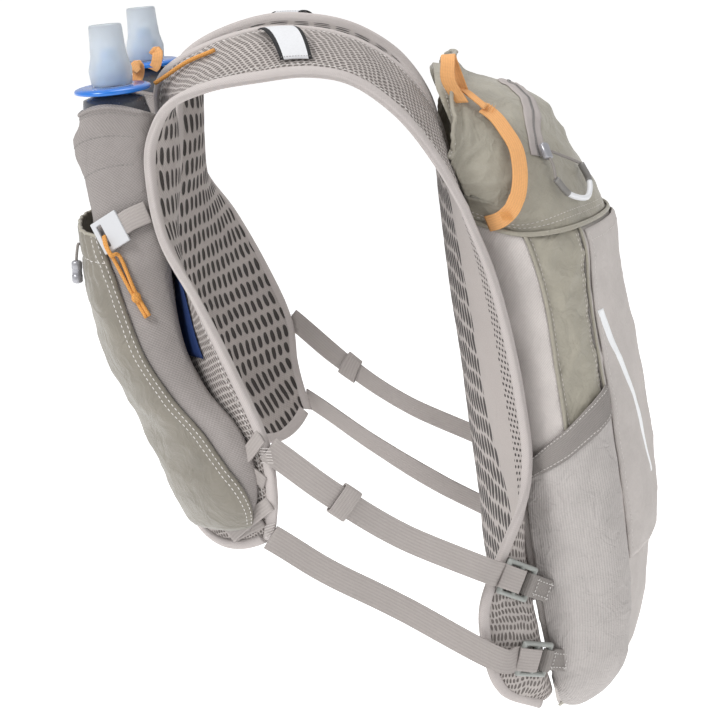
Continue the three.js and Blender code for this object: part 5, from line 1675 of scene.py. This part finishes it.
def pack_sleeve():
    """The soft cloth that stands up round the pack's open top"""
    a, b = grid(26, 130)
    across = mix(-0.9, 0.9, b)
    edge = pack_point(0.984, across, -1.2)
    middle = np.clip(1 - np.abs(across) / 0.9, 0, 1) ** 0.4
    spread = np.stack([np.sign(across) * 0.10, 0 * across, 0 * across], -1)
    base = edge + (np.array([0, -0.55, 0.83]) + spread) * (17 * a * middle)[..., None]
    base[..., 1] -= 3.0 * np.sin(math.pi * a) * middle

    def relief(u, v):
        gathers = 0.5 * np.sin(across * 60 + 2 * np.sin(across * 17)) * a * middle
        return folds(u, v, 131, 24, 1.4) * ramp(a, 0, 0.25) + gathers

    panel("pack_sleeve_cloth", 1, base, CLOTH_WALL, [M["olive"]], "olive_cloth", (), relief)
    line, up = trace("pack_sleeve_cloth", 0.99, np.linspace(0, 1, 130))
    tube("pack_sleeve_hem", 1, line, up, pill(2.6, 2.6, 10, 0.9), M["olive"], "olive_cloth")


def roof_trims():
    """The cross strap at the top loop, and the zipper's slider"""
    cross = [pack_point(*p) for p in ((0.986, 0.40, 3.0), (0.980, 0.46, 5.0), (0.966, 0.50, 4.0))]
    up, section = standing(pack_point, 0.97, 0.46), pill(5, 1.2, 12, 0.3)
    line = path_through(cross, 16)
    tube("top_cross_webbing", 1, line, up, section, M["orange_webbing"], "orange_webbing")
    slider = pack_point(0.893, 0.42, CLOTH_WALL + 2.6)
    up = standing(pack_point, 0.893, 0.42)
    way = unit(pack_point(0.905, 0.41, 2) - pack_point(0.885, 0.44, 2))
    line = np.array([slider + way * s for s in (-5, -4, 0, 4, 5)])
    scale = np.array([0.7, 1, 0.85, 1, 0.75])
    tube("zipper_slider", 1, line, up, pill(7.5, 3.6, 16, 0.5), M["silver"], "zipper", scale=scale)


for sign, side in sides():
    for make in (chest_stitches, chest_trims, hip_trims, side_seams, stripe, loop_tacks):
        make(sign, side)
roof_seams()
pack_sleeve()
roof_trims()


# Floor and light
PALE = (1, 1, 1, 1)


def area_light(name, place_at, aim, size, power):
    light = bpy.data.lights.new(name, "AREA")
    light.shape = "RECTANGLE"
    light.size, light.size_y, light.energy = size[0], size[1], power
    obj = bpy.data.objects.new(name, light)
    obj.location = place_at
    obj.rotation_euler = (Vector(aim) - Vector(place_at)).to_track_quat("-Z", "Y").to_euler()
    bpy.context.scene.collection.objects.link(obj)


def lay_floor():
    half, depth = 60, -0.62
    corners = [(-half, -half, depth), (half, -half, depth), (half, half, depth), (-half, half, depth)]
    floor = bpy.data.meshes.new("floor")
    floor.from_pydata(corners, [], [(0, 1, 2, 3)])
    paint = look("pale_floor", (0.94, 0.94, 0.94), 0.9, Emission_Color=PALE, Emission_Strength=0.5)
    floor.materials.append(paint)
    obj = bpy.data.objects.new("floor", floor)
    bpy.context.scene.collection.objects.link(obj)


def make_room():
    """A white room that is brighter to the camera than as a light"""
    world = bpy.data.worlds.new("pale_room")
    world.use_nodes = True
    bpy.context.scene.world = world
    tree = world.node_tree
    seen = tree.nodes.new("ShaderNodeBackground")
    for background, strength in ((tree.nodes["Background"], 0.6), (seen, 1.0)):
        background.inputs["Color"].default_value = PALE
        background.inputs["Strength"].default_value = strength
    ray, both = tree.nodes.new("ShaderNodeLightPath"), tree.nodes.new("ShaderNodeMixShader")
    tree.links.new(ray.outputs["Is Camera Ray"], both.inputs[0])
    tree.links.new(tree.nodes["Background"].outputs[0], both.inputs[1])
    tree.links.new(seen.outputs[0], both.inputs[2])
    tree.links.new(both.outputs[0], tree.nodes["World Output"].inputs["Surface"])


lay_floor()
make_room()
area_light("key", (0.9, -1.3, 1.3), (0.05, 0.0, -0.2), (0.7, 0.7), 27)
area_light("fill", (1.6, 1.4, 0.7), (0.0, 0.08, -0.2), (1.2, 1.0), 4)
area_light("top", (-0.4, 0.2, 1.5), (0.0, 0.0, -0.2), (1.0, 1.0), 10)
bpy.context.scene.view_settings.view_transform = "Standard"
